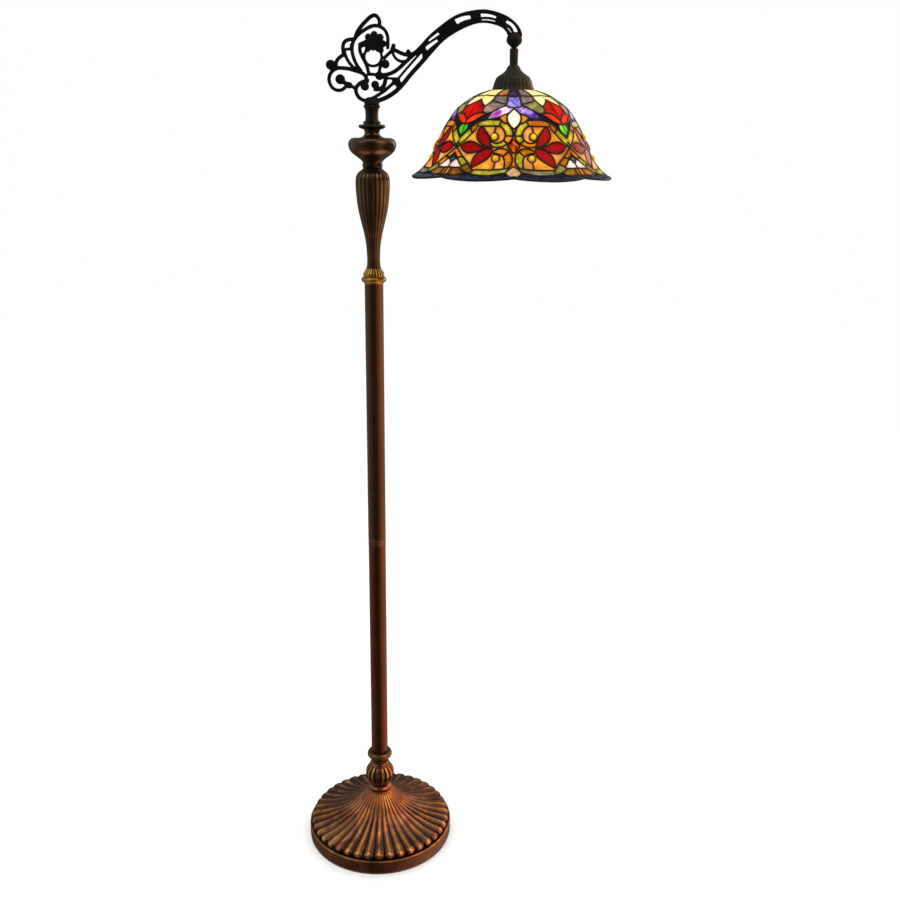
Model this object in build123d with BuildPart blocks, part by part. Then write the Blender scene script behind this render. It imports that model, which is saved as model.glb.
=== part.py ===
"""Bridge-arm floor lamp with a leaded-glass bell shade.

Millimetres, +Z up. The origin is the centre of the foot, the arm reaches towards +X,
and the column is a stack of pieces, each starting where the one below it ends.
"""

import os
from math import cos, pi, radians, sin

from build123d import *

os.makedirs("parts", exist_ok=True)

# Fits and gaps
nest_gap = 0.1  # radial gap of fixed pieces that slide over one another
running_gap = 0.05  # radial gap of a pivot in its bore
face_gap = 0.3  # between faces that turn past each other

# Threaded lamp pipe, M10
rod_radius = 5.0
rod_bore = 3.5
nut_width = 16.0  # across the flats
nut_height = 5.5
washer_radius = 16.0
washer_thickness = 2.0

# Foot
felt_thickness = 2.0
felt_inset = 2.0
base_radius = 141.0
base_wall_height = 27.0
base_wall = 5.0
base_edge_round = 2.0
ledge_width = 4.0
bead_inset = 2.5  # of the flutes' ends, where they meet the ledge
dome_height = 69.5
dome_top_radius = 22.5
dome_roof = 6.0  # least metal under a flute
flute_count = 40
flute_depth = 3.4
boss_radius = 14.0
boss_length = 66.5
weight_radius = 118.0
weight_thickness = 16.0
wire_notch = 10.0
bushing_height = 14.0
bushing_radius = 5.0
bushing_bore = 3.2
bushing_flange = 2.0
bushing_flange_radius = 7.5

# Column, from the foot up
base_ring_radius = 23.0
base_ring_height = 10.0
ball_radius = 27.4
ball_height = 61.5
ball_neck_radius = 16.6
ball_mouth_radius = 19.2
ball_wall = 6.0
gadroon_count = 16
gadroon_depth = 2.2
cup_radius = 24.1
cup_height = 12.0
tube_seat = 8.0
lower_tube_radius = 15.9
tube_wall = 1.2
lower_tube_length = 447.0
upper_tube_step = 0.3  # the upper tube is this much larger in radius
upper_tube_length = 470.0
plug_length = 14.0
joint_height = 16.0
joint_bead = 0.8
joint_bead_count = 3
spigot_length = 20.0
spigot_wall = 3.0
brass_ring_radius = 21.6
brass_ring_height = 13.0
brass_ring_step = 0.5  # its plain ends stand this far out from the tube
baluster_radius = 29.0
baluster_waist_radius = 11.2
baluster_foot_radius = 18.5
baluster_top_radius = 15.5
baluster_height = 179.0
baluster_wall = 3.5
baluster_flutes = 22
baluster_flute_depth = 1.5
neck_ring_radius = 17.0
neck_ring_height = 10.0
knop_radius = 40.0
knop_neck_radius = 12.8
knop_height = 52.0
knop_wall = 4.0
dish_radius = 22.4
dish_height = 13.0
dish_collar_radius = 14.4
post_radius = 12.0
post_height = 20.7

# Arm
collar_radius = 13.9
collar_height = 4.3
boss_rise = 3.7  # from the collar to the drawing's zero line
arm_boss_radius = 12.0
arm_boss_height = 12.2
pivot_length = 9.0
arm_thickness = 9.0
reach = 232.0  # from the column's axis to the shade's
arm_rise = 143.5  # from the drawing's zero line to the crown of the arm
head_radius = 12.6
head_lip_radius = 6.2
head_neck_radius = 7.4
head_height = 22.0
head_drop = 55.5  # from the crown of the arm to the underside of its head
tip_bore = 15.0

# Shade fitting, from the arm's head down
neck_gap = 3.0
stem_radius = 7.1
stem_length = 25.0
stem_flutes = 12
stem_flute_depth = 0.6
cap_radius = 35.2
cap_height = 39.0
cap_wall = 3.2
cap_flutes = 28
cap_flute_depth = 1.3
cap_roof = 13.0
cap_washer_radius = 9.0
cap_washer_thickness = 1.5

# Shade
glass_thickness = 3.0
came_thickness = 4.4
came_width = 4.0
crown_collar_height = 2.5
crown_collar_width = 6.0
crown_collar_inset = 0.8
crown_radius = 36.2  # top edge of the glass
crown_drop = 1.2  # from the cap's rim to the middle of the glass edge
crown_band = 24.0  # glass between the cap and the hoop, along the wall
bell_height = 126.0
rim_radius = 169.0  # to the edge of the lobes
rim_flare = 19.0  # from the foot of the bell to the edge of the lobes
rim_drop = 10.3
notch_depth = 9.0  # of the notches between the lobes
rim_slope = 0.45  # fall of the rim's edge for each unit outwards
scallop_count = 8
panel_count = 4
panel_turn = -1.6  # degrees that the panels are turned from the arm's plane
jewel_width = 15.0
jewel_length = 21.0
jewel_rise = 4.0
jewel_taper = 35.0
jewel_place = 128.0  # along the wall from its top edge
cabochon_radius = 5.0
cabochon_turn = 13.4  # degrees either side of a panel's middle
cabochon_place = 130.0
cabochon_spread = 18.0

# Lampholder and bulb
socket_radius = 15.6
socket_sheet = 0.8
socket_cap_height = 24.5
socket_hub_radius = 8.0
socket_hub_height = 9.0
socket_length = 34.0
socket_overlap = 2.5  # of the core above the cap's skirt
liner_sheet = 0.7
liner_inset = 1.0
core_height = 12.0
screw_shell_sheet = 0.4
screw_shell_length = 17.0
contact_radius = 4.0
contact_height = 2.4
bulb_base_radius = 13.0
bulb_base_length = 24.0
bulb_base_wall = 0.8
bulb_radius = 30.0
bulb_length = 78.0
bulb_wall = 1.0
bulb_tuck = 8.0  # of the glass inside its base
key_stem_radius = 2.0
key_reach = 30.0
key_width = 9.0
key_length = 13.0
key_thickness = 3.0
key_depth = 5.0
key_overlap = 1.0  # of the stem into the paddle

# Heights of the stack
ledge = felt_thickness + base_wall_height
dome_top = ledge + dome_height
base_ring_top = dome_top + base_ring_height
ball_top = base_ring_top + ball_height
cup_top = ball_top + cup_height
tube_bottom = cup_top - tube_seat
joint_bottom = tube_bottom + lower_tube_length
joint_top = joint_bottom + joint_height
upper_tube_top = joint_top + upper_tube_length
brass_ring_top = upper_tube_top + brass_ring_height
baluster_top = brass_ring_top + baluster_height
neck_ring_top = baluster_top + neck_ring_height
knop_top = neck_ring_top + knop_height
dish_top = knop_top + dish_height
post_top = dish_top + post_height
collar_bottom = post_top + face_gap
collar_top = collar_bottom + collar_height
arm_datum = collar_top + boss_rise
head_bottom = arm_datum + arm_rise - head_drop
stem_top = head_bottom - neck_gap
cap_top = stem_top - stem_length
cap_bottom = cap_top - cap_height
cap_roof_bottom = cap_top - cap_roof
cap_nut_top = cap_roof_bottom - cap_washer_thickness
socket_top = cap_nut_top - nut_height
rod_hole = rod_radius + nest_gap
pivot_hole = rod_radius + running_gap
tube_bore = lower_tube_radius - tube_wall
upper_tube_radius = lower_tube_radius + upper_tube_step
spigot_radius = tube_bore - nest_gap
shade_axis = Axis((reach, 0, 0), (0, 0, 1))


def save(piece, name):
    """Label a finished piece and write it."""
    piece.part.label = name
    export_step(piece.part, f"parts/{name}.step")


def radial_plane(x, turn=0.0):
    """Upright plane through the vertical axis at x: first coordinate out, second up."""
    out = radians(turn)
    return Plane(origin=(x, 0, 0), x_dir=(cos(out), sin(out), 0), z_dir=(sin(out), -cos(out), 0))


def turned_outline(bore, *runs):
    """Close an outline of (radius, height) runs down to its bore: two points a line, more a curve."""
    first = runs[0][0]
    last = runs[-1][-1]
    closing = [last, (bore, first[1]), first]
    if last[0] > bore:
        closing.insert(1, (bore, last[1]))
    with BuildLine() as outline:
        for run in runs:
            if len(run) == 2:
                Line(*run)
            else:
                Spline(*run)
        Polyline(*closing)
    make_face(outline.edges())


def turned(x, bore, *runs):
    """Turn an outline about the vertical axis at x, in the current part."""
    with BuildSketch(radial_plane(x)) as section:
        turned_outline(bore, *runs)
    revolve(section.sketch, axis=Axis((x, 0, 0), (0, 0, 1)))


def tube(x, inner, outer, bottom, top):
    """Plain round tube on the vertical axis at x, in the current part."""
    turned(x, inner, [(outer, bottom), (outer, top)])


def fluted(x, lobes, levels):
    """Loft a lobed bar through levels of (height, crest radius, groove depth), in the current part."""
    pitch = 2 * pi / lobes
    sections = []
    for height, crest, depth in levels:
        corners = []
        for lobe in range(lobes):
            for share, radius in ((0, crest - depth), (0.28, crest), (0.72, crest)):
                angle = (lobe + share) * pitch
                corners.append((radius * cos(angle), radius * sin(angle)))
        with BuildSketch(Plane((x, 0, height))) as level:
            Polygon(*corners, align=None)
        sections.append(level.sketch)
    loft(sections, ruled=True)


def ribbon(path, width, end_width=None, spans=8, mode=Mode.ADD):
    """Fill or cut a bar of the given width along a flat path, in the current sketch."""
    end_width = width if end_width is None else end_width
    left = []
    right = []
    for step in range(spans + 1):
        share = step / spans
        along = path.tangent_at(share)
        across = Vector(-along.Y, along.X) * (width + (end_width - width) * share) / 2
        left.append(path.position_at(share) + across)
        right.append(path.position_at(share) - across)
    with BuildLine() as outline:
        Spline(*left)
        Line(left[-1], right[-1])
        Spline(*reversed(right))
        Line(right[0], left[0])
    make_face(outline.edges(), mode=mode)


# Foot: felt, fluted casting, ballast and the nut that draws them together
with BuildPart() as felt_pad:
    Cylinder(base_radius - felt_inset, felt_thickness, align=(Align.CENTER, Align.CENTER, Align.MIN))
save(felt_pad, "felt_pad")

bead_radius = base_radius - ledge_width
dome_span = bead_radius - dome_top_radius
# Shares of the dome's span and height, from the beads at the edge up to the ring
dome_shape = [
    (0.955, 0.172), (0.74, 0.235), (0.505, 0.355), (0.30, 0.515), (0.165, 0.71), (0.05, 0.89), (0, 1),
]
# The grooves' depth is measured level, so it is greatest where the dome is flattest
groove_shares = [4.0, 3.4, 2.6, 1.8, 1.1, 0.7, 0.45]
dome_levels = [
    (ledge, bead_radius - bead_inset, 1.5 * flute_depth),
    (ledge + 0.08 * dome_height, bead_radius, 2 * flute_depth),
]
for (out, up), groove in zip(dome_shape, groove_shares):
    dome_levels.append((ledge + up * dome_height, dome_top_radius + out * dome_span, groove * flute_depth))
boss_top = dome_top - dome_roof
boss_bottom = boss_top - boss_length

with BuildPart() as base_shell:
    fluted(0, flute_count, dome_levels)
    turned(
        0,
        0,
        [(base_radius, felt_thickness), (base_radius, ledge - base_edge_round)],
        [(base_radius, ledge - base_edge_round), (base_radius - base_edge_round, ledge)],
    )
    # Hollow underneath, with a boss for the ballast
    hollow = [(base_radius - base_wall, felt_thickness), (base_radius - base_wall, ledge - dome_roof)]
    for (out, up), groove in zip(dome_shape[:-2], groove_shares):
        inset = dome_top_radius + out * dome_span - groove * flute_depth
        hollow.append((inset, ledge + up * dome_height - dome_roof))
    hollow.append((boss_radius + dome_roof, boss_top - dome_roof))
    hollow.append((boss_radius, boss_top - dome_roof))
    hollow.append((boss_radius, boss_bottom))
    with BuildSketch(Plane.XZ):
        Polygon((0, felt_thickness), *hollow, (0, boss_bottom), align=None)
    revolve(axis=Axis.Z, mode=Mode.SUBTRACT)
    with Locations((0, 0, dome_top)):
        Hole(rod_hole)
    with BuildSketch(Plane.XZ.offset(-base_radius - base_wall)):
        with Locations((0, bushing_height)):
            Circle(bushing_radius + nest_gap)
    extrude(amount=4 * base_wall, mode=Mode.SUBTRACT)
save(base_shell, "base_shell")

weight_bottom = boss_bottom - weight_thickness
with BuildPart() as base_weight:
    tube(0, rod_hole, weight_radius, weight_bottom, boss_bottom)
    with Locations((0, weight_radius / 2, weight_bottom)):
        Box(wire_notch, weight_radius, wire_notch, mode=Mode.SUBTRACT)
save(base_weight, "base_weight")

washer_bottom = weight_bottom - washer_thickness
with BuildPart() as base_washer:
    tube(0, rod_hole, washer_radius, washer_bottom, weight_bottom)
save(base_washer, "base_washer")

with BuildPart() as base_nut:
    with BuildSketch(Plane.XY.offset(washer_bottom - nut_height)):
        RegularPolygon(nut_width / 2, 6, major_radius=False)
        Circle(rod_hole, mode=Mode.SUBTRACT)
    extrude(amount=nut_height)
save(base_nut, "base_nut")

# The bushing lines the wire's way through the back of the wall
with BuildPart() as cord_bushing:
    with BuildSketch(Plane.XZ.offset(-base_radius)):
        with Locations((0, bushing_height)):
            Circle(bushing_radius)
    extrude(amount=base_wall + bushing_flange)
    with BuildSketch(Plane.XZ.offset(-base_radius)):
        with Locations((0, bushing_height)):
            Circle(bushing_flange_radius)
    extrude(amount=-bushing_flange)
    with BuildSketch(Plane.XZ.offset(-base_radius - bushing_flange)):
        with Locations((0, bushing_height)):
            Circle(bushing_bore)
    extrude(amount=base_wall + 2 * bushing_flange, mode=Mode.SUBTRACT)
save(cord_bushing, "cord_bushing")

with BuildPart() as lower_rod:
    tube(0, rod_bore, rod_radius, washer_bottom - nut_height, tube_bottom + plug_length)
save(lower_rod, "lower_rod")

# Turned and fluted pieces between the foot and the tubes
with BuildPart() as base_ring:
    turned(
        0,
        rod_hole,
        [
            (0.88 * base_ring_radius, dome_top),
            (base_ring_radius, dome_top + 0.48 * base_ring_height),
            (0.76 * base_ring_radius, base_ring_top),
        ],
    )
save(base_ring, "base_ring")

ball_shape = [
    (0, 0.56), (0.06, 0.65), (0.14, 0.78), (0.22, 0.885), (0.315, 0.97), (0.42, 1), (0.51, 0.967),
    (0.59, 0.885), (0.655, 0.78), (0.7, 0.69),
]
ball_levels = []
for up, out in ball_shape:
    ball_levels.append((base_ring_top + up * ball_height, out * ball_radius, out * gadroon_depth))
with BuildPart() as gadroon_ball:
    fluted(0, gadroon_count, ball_levels)
    shoulder = base_ring_top + ball_shape[-1][0] * ball_height
    turned(
        0,
        0,
        [
            (0.68 * ball_radius, shoulder),
            (0.7 * ball_radius, shoulder + 0.02 * ball_height),
            (0.645 * ball_radius, shoulder + 0.045 * ball_height),
            (0.665 * ball_radius, shoulder + 0.07 * ball_height),
            (ball_neck_radius, shoulder + 0.1 * ball_height),
        ],
        [
            (ball_neck_radius, shoulder + 0.1 * ball_height),
            (ball_neck_radius, shoulder + 0.14 * ball_height),
            (1.06 * ball_neck_radius, shoulder + 0.22 * ball_height),
            (ball_mouth_radius, ball_top),
        ],
    )
    with BuildSketch(Plane.XZ):
        turned_outline(
            0,
            [(rod_hole, base_ring_top), (rod_hole, base_ring_top + ball_wall)],
            [
                (rod_hole, base_ring_top + ball_wall),
                (ball_radius - ball_wall, base_ring_top + 0.42 * ball_height),
                (rod_hole, shoulder),
            ],
            [(rod_hole, shoulder), (rod_hole, ball_top)],
        )
    revolve(axis=Axis.Z, mode=Mode.SUBTRACT)
save(gadroon_ball, "gadroon_ball")

with BuildPart() as pole_cup:
    turned(
        0,
        rod_hole,
        [
            (1.04 * ball_mouth_radius, ball_top),
            (0.95 * cup_radius, ball_top + 0.15 * cup_height),
            (cup_radius, ball_top + 0.47 * cup_height),
            (0.96 * cup_radius, ball_top + 0.78 * cup_height),
            (0.87 * cup_radius, cup_top),
        ],
    )
    tube_hole = lower_tube_radius + nest_gap
    with BuildSketch(Plane.XY.offset(tube_bottom)):
        Circle(tube_hole)
    extrude(amount=tube_seat, mode=Mode.SUBTRACT)
save(pole_cup, "pole_cup")

# Two tubes, joined by a beaded collar over an inner sleeve
with BuildPart() as lower_tube:
    tube(0, tube_bore, lower_tube_radius, tube_bottom, joint_bottom)
save(lower_tube, "lower_tube")

with BuildPart() as lower_tube_plug:
    tube(0, rod_hole, spigot_radius, tube_bottom, tube_bottom + plug_length)
save(lower_tube_plug, "lower_tube_plug")

with BuildPart() as joint_coupling:
    spigot_bottom = joint_bottom - spigot_length
    tube(0, spigot_radius - spigot_wall, spigot_radius, spigot_bottom, joint_top + spigot_length)
save(joint_coupling, "joint_coupling")

bead_pitch = joint_height / joint_bead_count
with BuildPart() as joint_collar:
    collar_runs = []
    for bead in range(joint_bead_count):
        low = joint_bottom + bead * bead_pitch
        groove = lower_tube_radius - joint_bead / 2
        crown = (groove + joint_bead, low + bead_pitch / 2)
        collar_runs.append([(groove, low), crown, (groove, low + bead_pitch)])
    turned(0, tube_bore, *collar_runs)
save(joint_collar, "joint_collar")

with BuildPart() as upper_tube:
    tube(0, tube_bore, upper_tube_radius, joint_top, upper_tube_top)
save(upper_tube, "upper_tube")

with BuildPart() as upper_tube_plug:
    tube(0, rod_hole, spigot_radius, upper_tube_top - plug_length, upper_tube_top)
save(upper_tube_plug, "upper_tube_plug")

# The upper rod carries the stack above the tubes, and its top end is the arm's pivot
with BuildPart() as upper_rod:
    tube(0, rod_bore, rod_radius, upper_tube_top - plug_length, collar_bottom + pivot_length)
save(upper_rod, "upper_rod")

with BuildPart() as brass_ring:
    end_radius = upper_tube_radius + brass_ring_step
    bulge_bottom = upper_tube_top + 0.16 * brass_ring_height
    bulge_top = upper_tube_top + 0.94 * brass_ring_height
    turned(
        0,
        rod_hole,
        [(end_radius, upper_tube_top), (end_radius, bulge_bottom)],
        [
            (end_radius, bulge_bottom),
            (0.95 * brass_ring_radius, bulge_bottom + 0.14 * brass_ring_height),
            (brass_ring_radius, bulge_bottom + 0.36 * brass_ring_height),
            (0.94 * brass_ring_radius, bulge_bottom + 0.6 * brass_ring_height),
            (end_radius, bulge_top),
        ],
        [(end_radius, bulge_top), (end_radius, brass_ring_top)],
    )
save(brass_ring, "brass_ring")

# Shares of the way from waist to shoulder, up the baluster above its petal foot
baluster_shape = [
    (0.2, 0.01), (0.27, 0.05), (0.34, 0.14), (0.42, 0.3), (0.52, 0.55),
    (0.63, 0.79), (0.75, 0.94), (0.86, 1), (0.92, 0.95), (0.955, 0.78),
]
baluster_levels = [
    (brass_ring_top, 0.96 * baluster_foot_radius, baluster_flute_depth),
    (brass_ring_top + 0.02 * baluster_height, baluster_foot_radius, baluster_flute_depth),
    (brass_ring_top + 0.05 * baluster_height, 0.82 * baluster_foot_radius, baluster_flute_depth),
    (brass_ring_top + 0.085 * baluster_height, 1.1 * baluster_waist_radius, baluster_flute_depth),
    (brass_ring_top + 0.13 * baluster_height, baluster_waist_radius, baluster_flute_depth / 2),
]
baluster_swell = baluster_radius - baluster_waist_radius
for up, out in baluster_shape:
    crest = baluster_waist_radius + out * baluster_swell
    baluster_levels.append((brass_ring_top + up * baluster_height, crest, baluster_flute_depth))
baluster_levels.append((baluster_top, baluster_top_radius, baluster_flute_depth / 2))
with BuildPart() as baluster:
    fluted(0, baluster_flutes, baluster_levels)
    hollow_radius = baluster_radius - baluster_flute_depth - baluster_wall
    with BuildSketch(Plane.XZ):
        Polygon(
            (0, brass_ring_top + 0.36 * baluster_height),
            (rod_hole, brass_ring_top + 0.36 * baluster_height),
            (0.55 * hollow_radius, brass_ring_top + 0.55 * baluster_height),
            (hollow_radius - baluster_wall, brass_ring_top + 0.73 * baluster_height),
            (hollow_radius, brass_ring_top + 0.86 * baluster_height),
            (0.6 * hollow_radius, brass_ring_top + 0.94 * baluster_height),
            (0, brass_ring_top + 0.94 * baluster_height),
            align=None,
        )
    revolve(axis=Axis.Z, mode=Mode.SUBTRACT)
    with Locations((0, 0, baluster_top)):
        Hole(rod_hole)
save(baluster, "baluster")

with BuildPart() as neck_ring:
    turned(
        0,
        rod_hole,
        [
            (0.91 * neck_ring_radius, baluster_top),
            (neck_ring_radius, baluster_top + 0.5 * neck_ring_height),
            (0.91 * neck_ring_radius, neck_ring_top),
        ],
    )
save(neck_ring, "neck_ring")

with BuildPart() as column_knop:
    turned(
        0,
        rod_hole,
        [
            (0.97 * neck_ring_radius, neck_ring_top),
            (0.66 * knop_radius, neck_ring_top + 0.17 * knop_height),
            (0.86 * knop_radius, neck_ring_top + 0.29 * knop_height),
            (0.965 * knop_radius, neck_ring_top + 0.41 * knop_height),
            (knop_radius, neck_ring_top + 0.53 * knop_height),
            (0.97 * knop_radius, neck_ring_top + 0.64 * knop_height),
            (0.87 * knop_radius, neck_ring_top + 0.72 * knop_height),
            (0.66 * knop_radius, neck_ring_top + 0.75 * knop_height),
            (0.45 * knop_radius, neck_ring_top + 0.77 * knop_height),
            (1.08 * knop_neck_radius, neck_ring_top + 0.83 * knop_height),
            (knop_neck_radius, knop_top - 0.06 * knop_height),
        ],
        [(knop_neck_radius, knop_top - 0.06 * knop_height), (1.08 * knop_neck_radius, knop_top)],
    )
    with BuildSketch(Plane.XZ):
        with BuildLine():
            Polyline(
                (0, neck_ring_top + 0.2 * knop_height),
                (0.55 * knop_radius, neck_ring_top + 0.26 * knop_height),
                (knop_radius - knop_wall, neck_ring_top + 0.5 * knop_height),
                (0.6 * knop_radius, neck_ring_top + 0.62 * knop_height),
                (0, neck_ring_top + 0.66 * knop_height),
                close=True,
            )
        make_face()
    revolve(axis=Axis.Z, mode=Mode.SUBTRACT)
save(column_knop, "column_knop")

with BuildPart() as drip_dish:
    lip_low = (0.89 * dish_radius, knop_top + 0.14 * dish_height)
    lip_high = (0.91 * dish_radius, knop_top + 0.6 * dish_height)
    collar_foot = (dish_collar_radius, knop_top + 0.52 * dish_height)
    turned(
        0,
        rod_hole,
        [(1.08 * knop_neck_radius, knop_top), lip_low],
        [lip_low, (dish_radius, knop_top + 0.38 * dish_height), lip_high],
        [lip_high, collar_foot],
        [collar_foot, (dish_collar_radius, dish_top)],
    )
save(drip_dish, "drip_dish")

with BuildPart() as arm_post:
    turned(
        0,
        rod_hole,
        [
            (0.967 * post_radius, dish_top),
            (0.883 * post_radius, dish_top + 0.35 * post_height),
            (post_radius, post_top),
        ],
    )
save(arm_post, "arm_post")

# Arm: the collar turns on the post, and the casting stands on the collar
with BuildPart() as arm_collar:
    turned(
        0,
        pivot_hole,
        [
            (0.914 * collar_radius, collar_bottom),
            (collar_radius, collar_bottom + 0.5 * collar_height),
            (0.914 * collar_radius, collar_top),
        ],
    )
save(arm_collar, "arm_collar")

# The casting is drawn for this reach and rise, from its root on the column's axis
drawn_reach = 232.0
drawn_rise = 143.5


def drawn(x, up):
    """A point of the casting's drawing, at the lamp's own reach and rise."""
    return (x * reach / drawn_reach, arm_datum + up * arm_rise / drawn_rise)


def drawn_curve(*points):
    """Smooth path through points of the casting's drawing."""
    return Edge.make_spline([Vector(*drawn(*point)) for point in points])


# Lower and upper edges of the beam, from where its bars meet out to the head
beam_under = [
    (84, 62), (97, 75), (117, 95.5), (137, 109), (158, 119), (178, 124), (198, 122), (216, 114), (221, 106),
]
beam_over = [
    (244.5, 104), (242, 113), (234, 123.5), (222, 132.5), (203, 140), (181, 143.5),
    (162, 141.5), (137, 134.5), (117, 122), (97, 106.5), (82, 91),
]
# Bars of the tracery: width, then the middle line's points
bars = [
    (6.5, (-4, 2), (10, 3.5), (24, 8.5), (38, 17), (50, 28), (62, 42), (76, 57), (90, 72)),
    (5.5, (92, 97), (80, 85.5), (68, 74), (56, 63.5), (44, 53), (32, 46), (22, 43.5), (12, 43.5)),
    (5.5, (32, 84), (42, 80), (53, 75.5), (64, 75), (76, 82)),
    (4.0, (35, 79), (39, 70), (45, 65.5), (54, 64.5)),
    (4.5, (20, 68), (28, 75.5), (37, 83)),
    (3.2, (44, 38), (60, 56), (74, 71), (88, 86)),
    (3.2, (22, 38.5), (34, 38), (46, 38)),
    (6.0, (23, 44), (22.5, 34), (19.5, 26), (13, 21.5), (4, 22)),
    (4.6, (1, 7), (12, 13), (24, 21), (34, 29.5), (43, 34)),
    (5.4, (2, 3.5), (-10, 3.2), (-20, 7.5), (-25, 15.5), (-25.5, 22), (-21, 28.5), (-11, 33.5), (-4, 34)),
    (4.8, (-56, 52.5), (-65, 47), (-69.2, 38), (-67.5, 28), (-62, 21.3), (-54, 18.8), (-46.5, 21),
     (-40.5, 25.5), (-32, 25), (-25, 20)),
    (6.5, (-51, 36), (-43.5, 30.5), (-36.5, 27)),
    (5.5, (-65, 54), (-53, 53.5), (-38, 52.5), (-24.5, 49), (-12, 44), (-8, 36)),
    (4.6, (-44, 83), (-41, 71), (-34.5, 60), (-22, 50)),
    (5.0, (-31.5, 90), (-30.5, 77), (-26.5, 64), (-16, 49)),
    (5.0, (-18, 87), (-16, 74), (-10, 63), (-6, 53), (-4, 42)),
    (5.0, (-28, 97), (-36.5, 96.5), (-43, 93), (-45.5, 86), (-44.5, 75)),
    (3.6, (-44.5, 81.5), (-31, 83)),
    (5.0, (-44.5, 73.5), (-52, 69), (-56.5, 63), (-57, 55)),
    (4.8, (-30.5, 83), (-28, 95), (-18.5, 106), (-7, 113.5), (5, 118), (14, 117), (22, 112), (26.7, 103.5),
     (27.5, 93), (27, 83)),
    (5.2, (-25.5, 98), (-22, 108), (-15, 117.5), (-7, 125.5), (1, 132), (7, 133.5), (11.5, 130.5),
     (14, 125.5), (13.5, 117.5)),
    (4.4, (-7, 44.5), (2, 44), (12, 43.5)),
    (8.0, (-19, 87), (-13, 90), (-4, 91)),
    (4.6, (16, 60), (13.5, 51), (13, 43)),
]
# Round knobs cast on the tracery: radius, then centre
knobs = [
    (6.6, (-11, 25.5)), (6.2, (6, 28)), (6.5, (13, 42)), (6.6, (23, 60)), (7.6, (-66, 58)),
    (7.6, (-51, 36)), (5.0, (-36.5, 27)), (3.2, (36.5, 88)), (3.6, (60.5, 79)),
]
gusset = [(34, 39), (46, 39), (49, 29), (41, 25.5), (34, 32)]
# Slots through the beam: width at each end, then the middle line's points
slots = [
    (2.4, 4.6, (86, 89.5), (97, 98.5), (110, 107.5)),
    (6.4, 4.4, (89, 83.5), (98, 90.5), (108, 97)),
    (9.0, 6.0, (137, 124.5), (149, 130), (161, 132)),
    (6.0, 4.0, (177, 134.8), (190, 134.8), (202, 131.8)),
    (2.4, 2.4, (178, 128), (190, 128.2), (201, 126)),
    (5.0, 6.4, (218, 126), (229, 119.5), (234.5, 109.5)),
    (2.0, 2.0, (220, 117), (224.5, 113), (227, 109)),
]
ring_centre = (3, 71)
ring_outer = 16.0
ring_inner = 12.4
flower_centre = (5.5, 91)
flower_heart = 12.5
petal_radius = 5.3
petal_count = 8
# Scallops that hang into the ring from the flower: radius, then centre
scallops = [(4.2, (-5.5, 82.5)), (4.4, (3, 84.8)), (4.2, (11.5, 82.5))]

with BuildPart() as arm_casting:
    with BuildSketch(Plane.XZ):
        with BuildLine():
            under = Spline(*[drawn(*point) for point in beam_under])
            over = Spline(*[drawn(*point) for point in beam_over])
            Line(under @ 1, over @ 0)
            Line(over @ 1, under @ 0)
        make_face()
        for narrow, wide, *points in slots:
            ribbon(drawn_curve(*points), narrow, wide, mode=Mode.SUBTRACT)
        for width, *points in bars:
            ribbon(drawn_curve(*points), width, spans=3 * len(points) - 3)
        for radius, centre in knobs:
            with Locations(drawn(*centre)):
                Circle(radius)
        with BuildLine():
            Polyline(*[drawn(*corner) for corner in gusset], close=True)
        make_face()
        with Locations(drawn(*flower_centre)):
            Circle(flower_heart)
            with PolarLocations(flower_heart + 1, petal_count, start_angle=90):
                Circle(petal_radius)
        with Locations(drawn(*ring_centre)):
            Circle(ring_outer)
            Circle(ring_inner, mode=Mode.SUBTRACT)
        for radius, centre in scallops:
            with Locations(drawn(*centre)):
                Circle(radius)
    extrude(amount=arm_thickness / 2, both=True)
    # Round root over the pivot, and round head over the shade
    boss_edge = (arm_boss_radius, collar_top + 0.47 * arm_boss_height)
    turned(
        0,
        0,
        [(arm_boss_radius, collar_top), boss_edge],
        [
            boss_edge,
            (0.75 * arm_boss_radius, collar_top + 0.88 * arm_boss_height),
            (0, collar_top + arm_boss_height),
        ],
    )
    head_neck = (head_neck_radius, head_bottom + 0.12 * head_height)
    turned(
        reach,
        0,
        [(head_lip_radius, head_bottom), head_neck],
        [
            head_neck,
            (head_radius, head_bottom + 0.45 * head_height),
            (0.85 * head_radius, head_bottom + 0.75 * head_height),
            (0, head_bottom + head_height),
        ],
    )
    upwards = (Align.CENTER, Align.CENTER, Align.MIN)
    with Locations((0, 0, collar_top)):
        Cylinder(pivot_hole, pivot_length - collar_height + face_gap, align=upwards, mode=Mode.SUBTRACT)
    with Locations((reach, 0, head_bottom)):
        Cylinder(pivot_hole, tip_bore, align=upwards, mode=Mode.SUBTRACT)
save(arm_casting, "arm_casting")

# Shade fitting: nipple, fluted stem, cap, and the nut that holds the cap up
with BuildPart() as tip_nipple:
    tube(reach, rod_bore, rod_radius, socket_top - socket_hub_height, head_bottom + tip_bore - face_gap)
save(tip_nipple, "tip_nipple")

with BuildPart() as stem_sleeve:
    stem_levels = [(cap_top, 0.93 * stem_radius, stem_flute_depth), (stem_top, stem_radius, stem_flute_depth)]
    fluted(reach, stem_flutes, stem_levels)
    with Locations((reach, 0, stem_top)):
        Hole(rod_hole)
save(stem_sleeve, "stem_sleeve")

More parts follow.
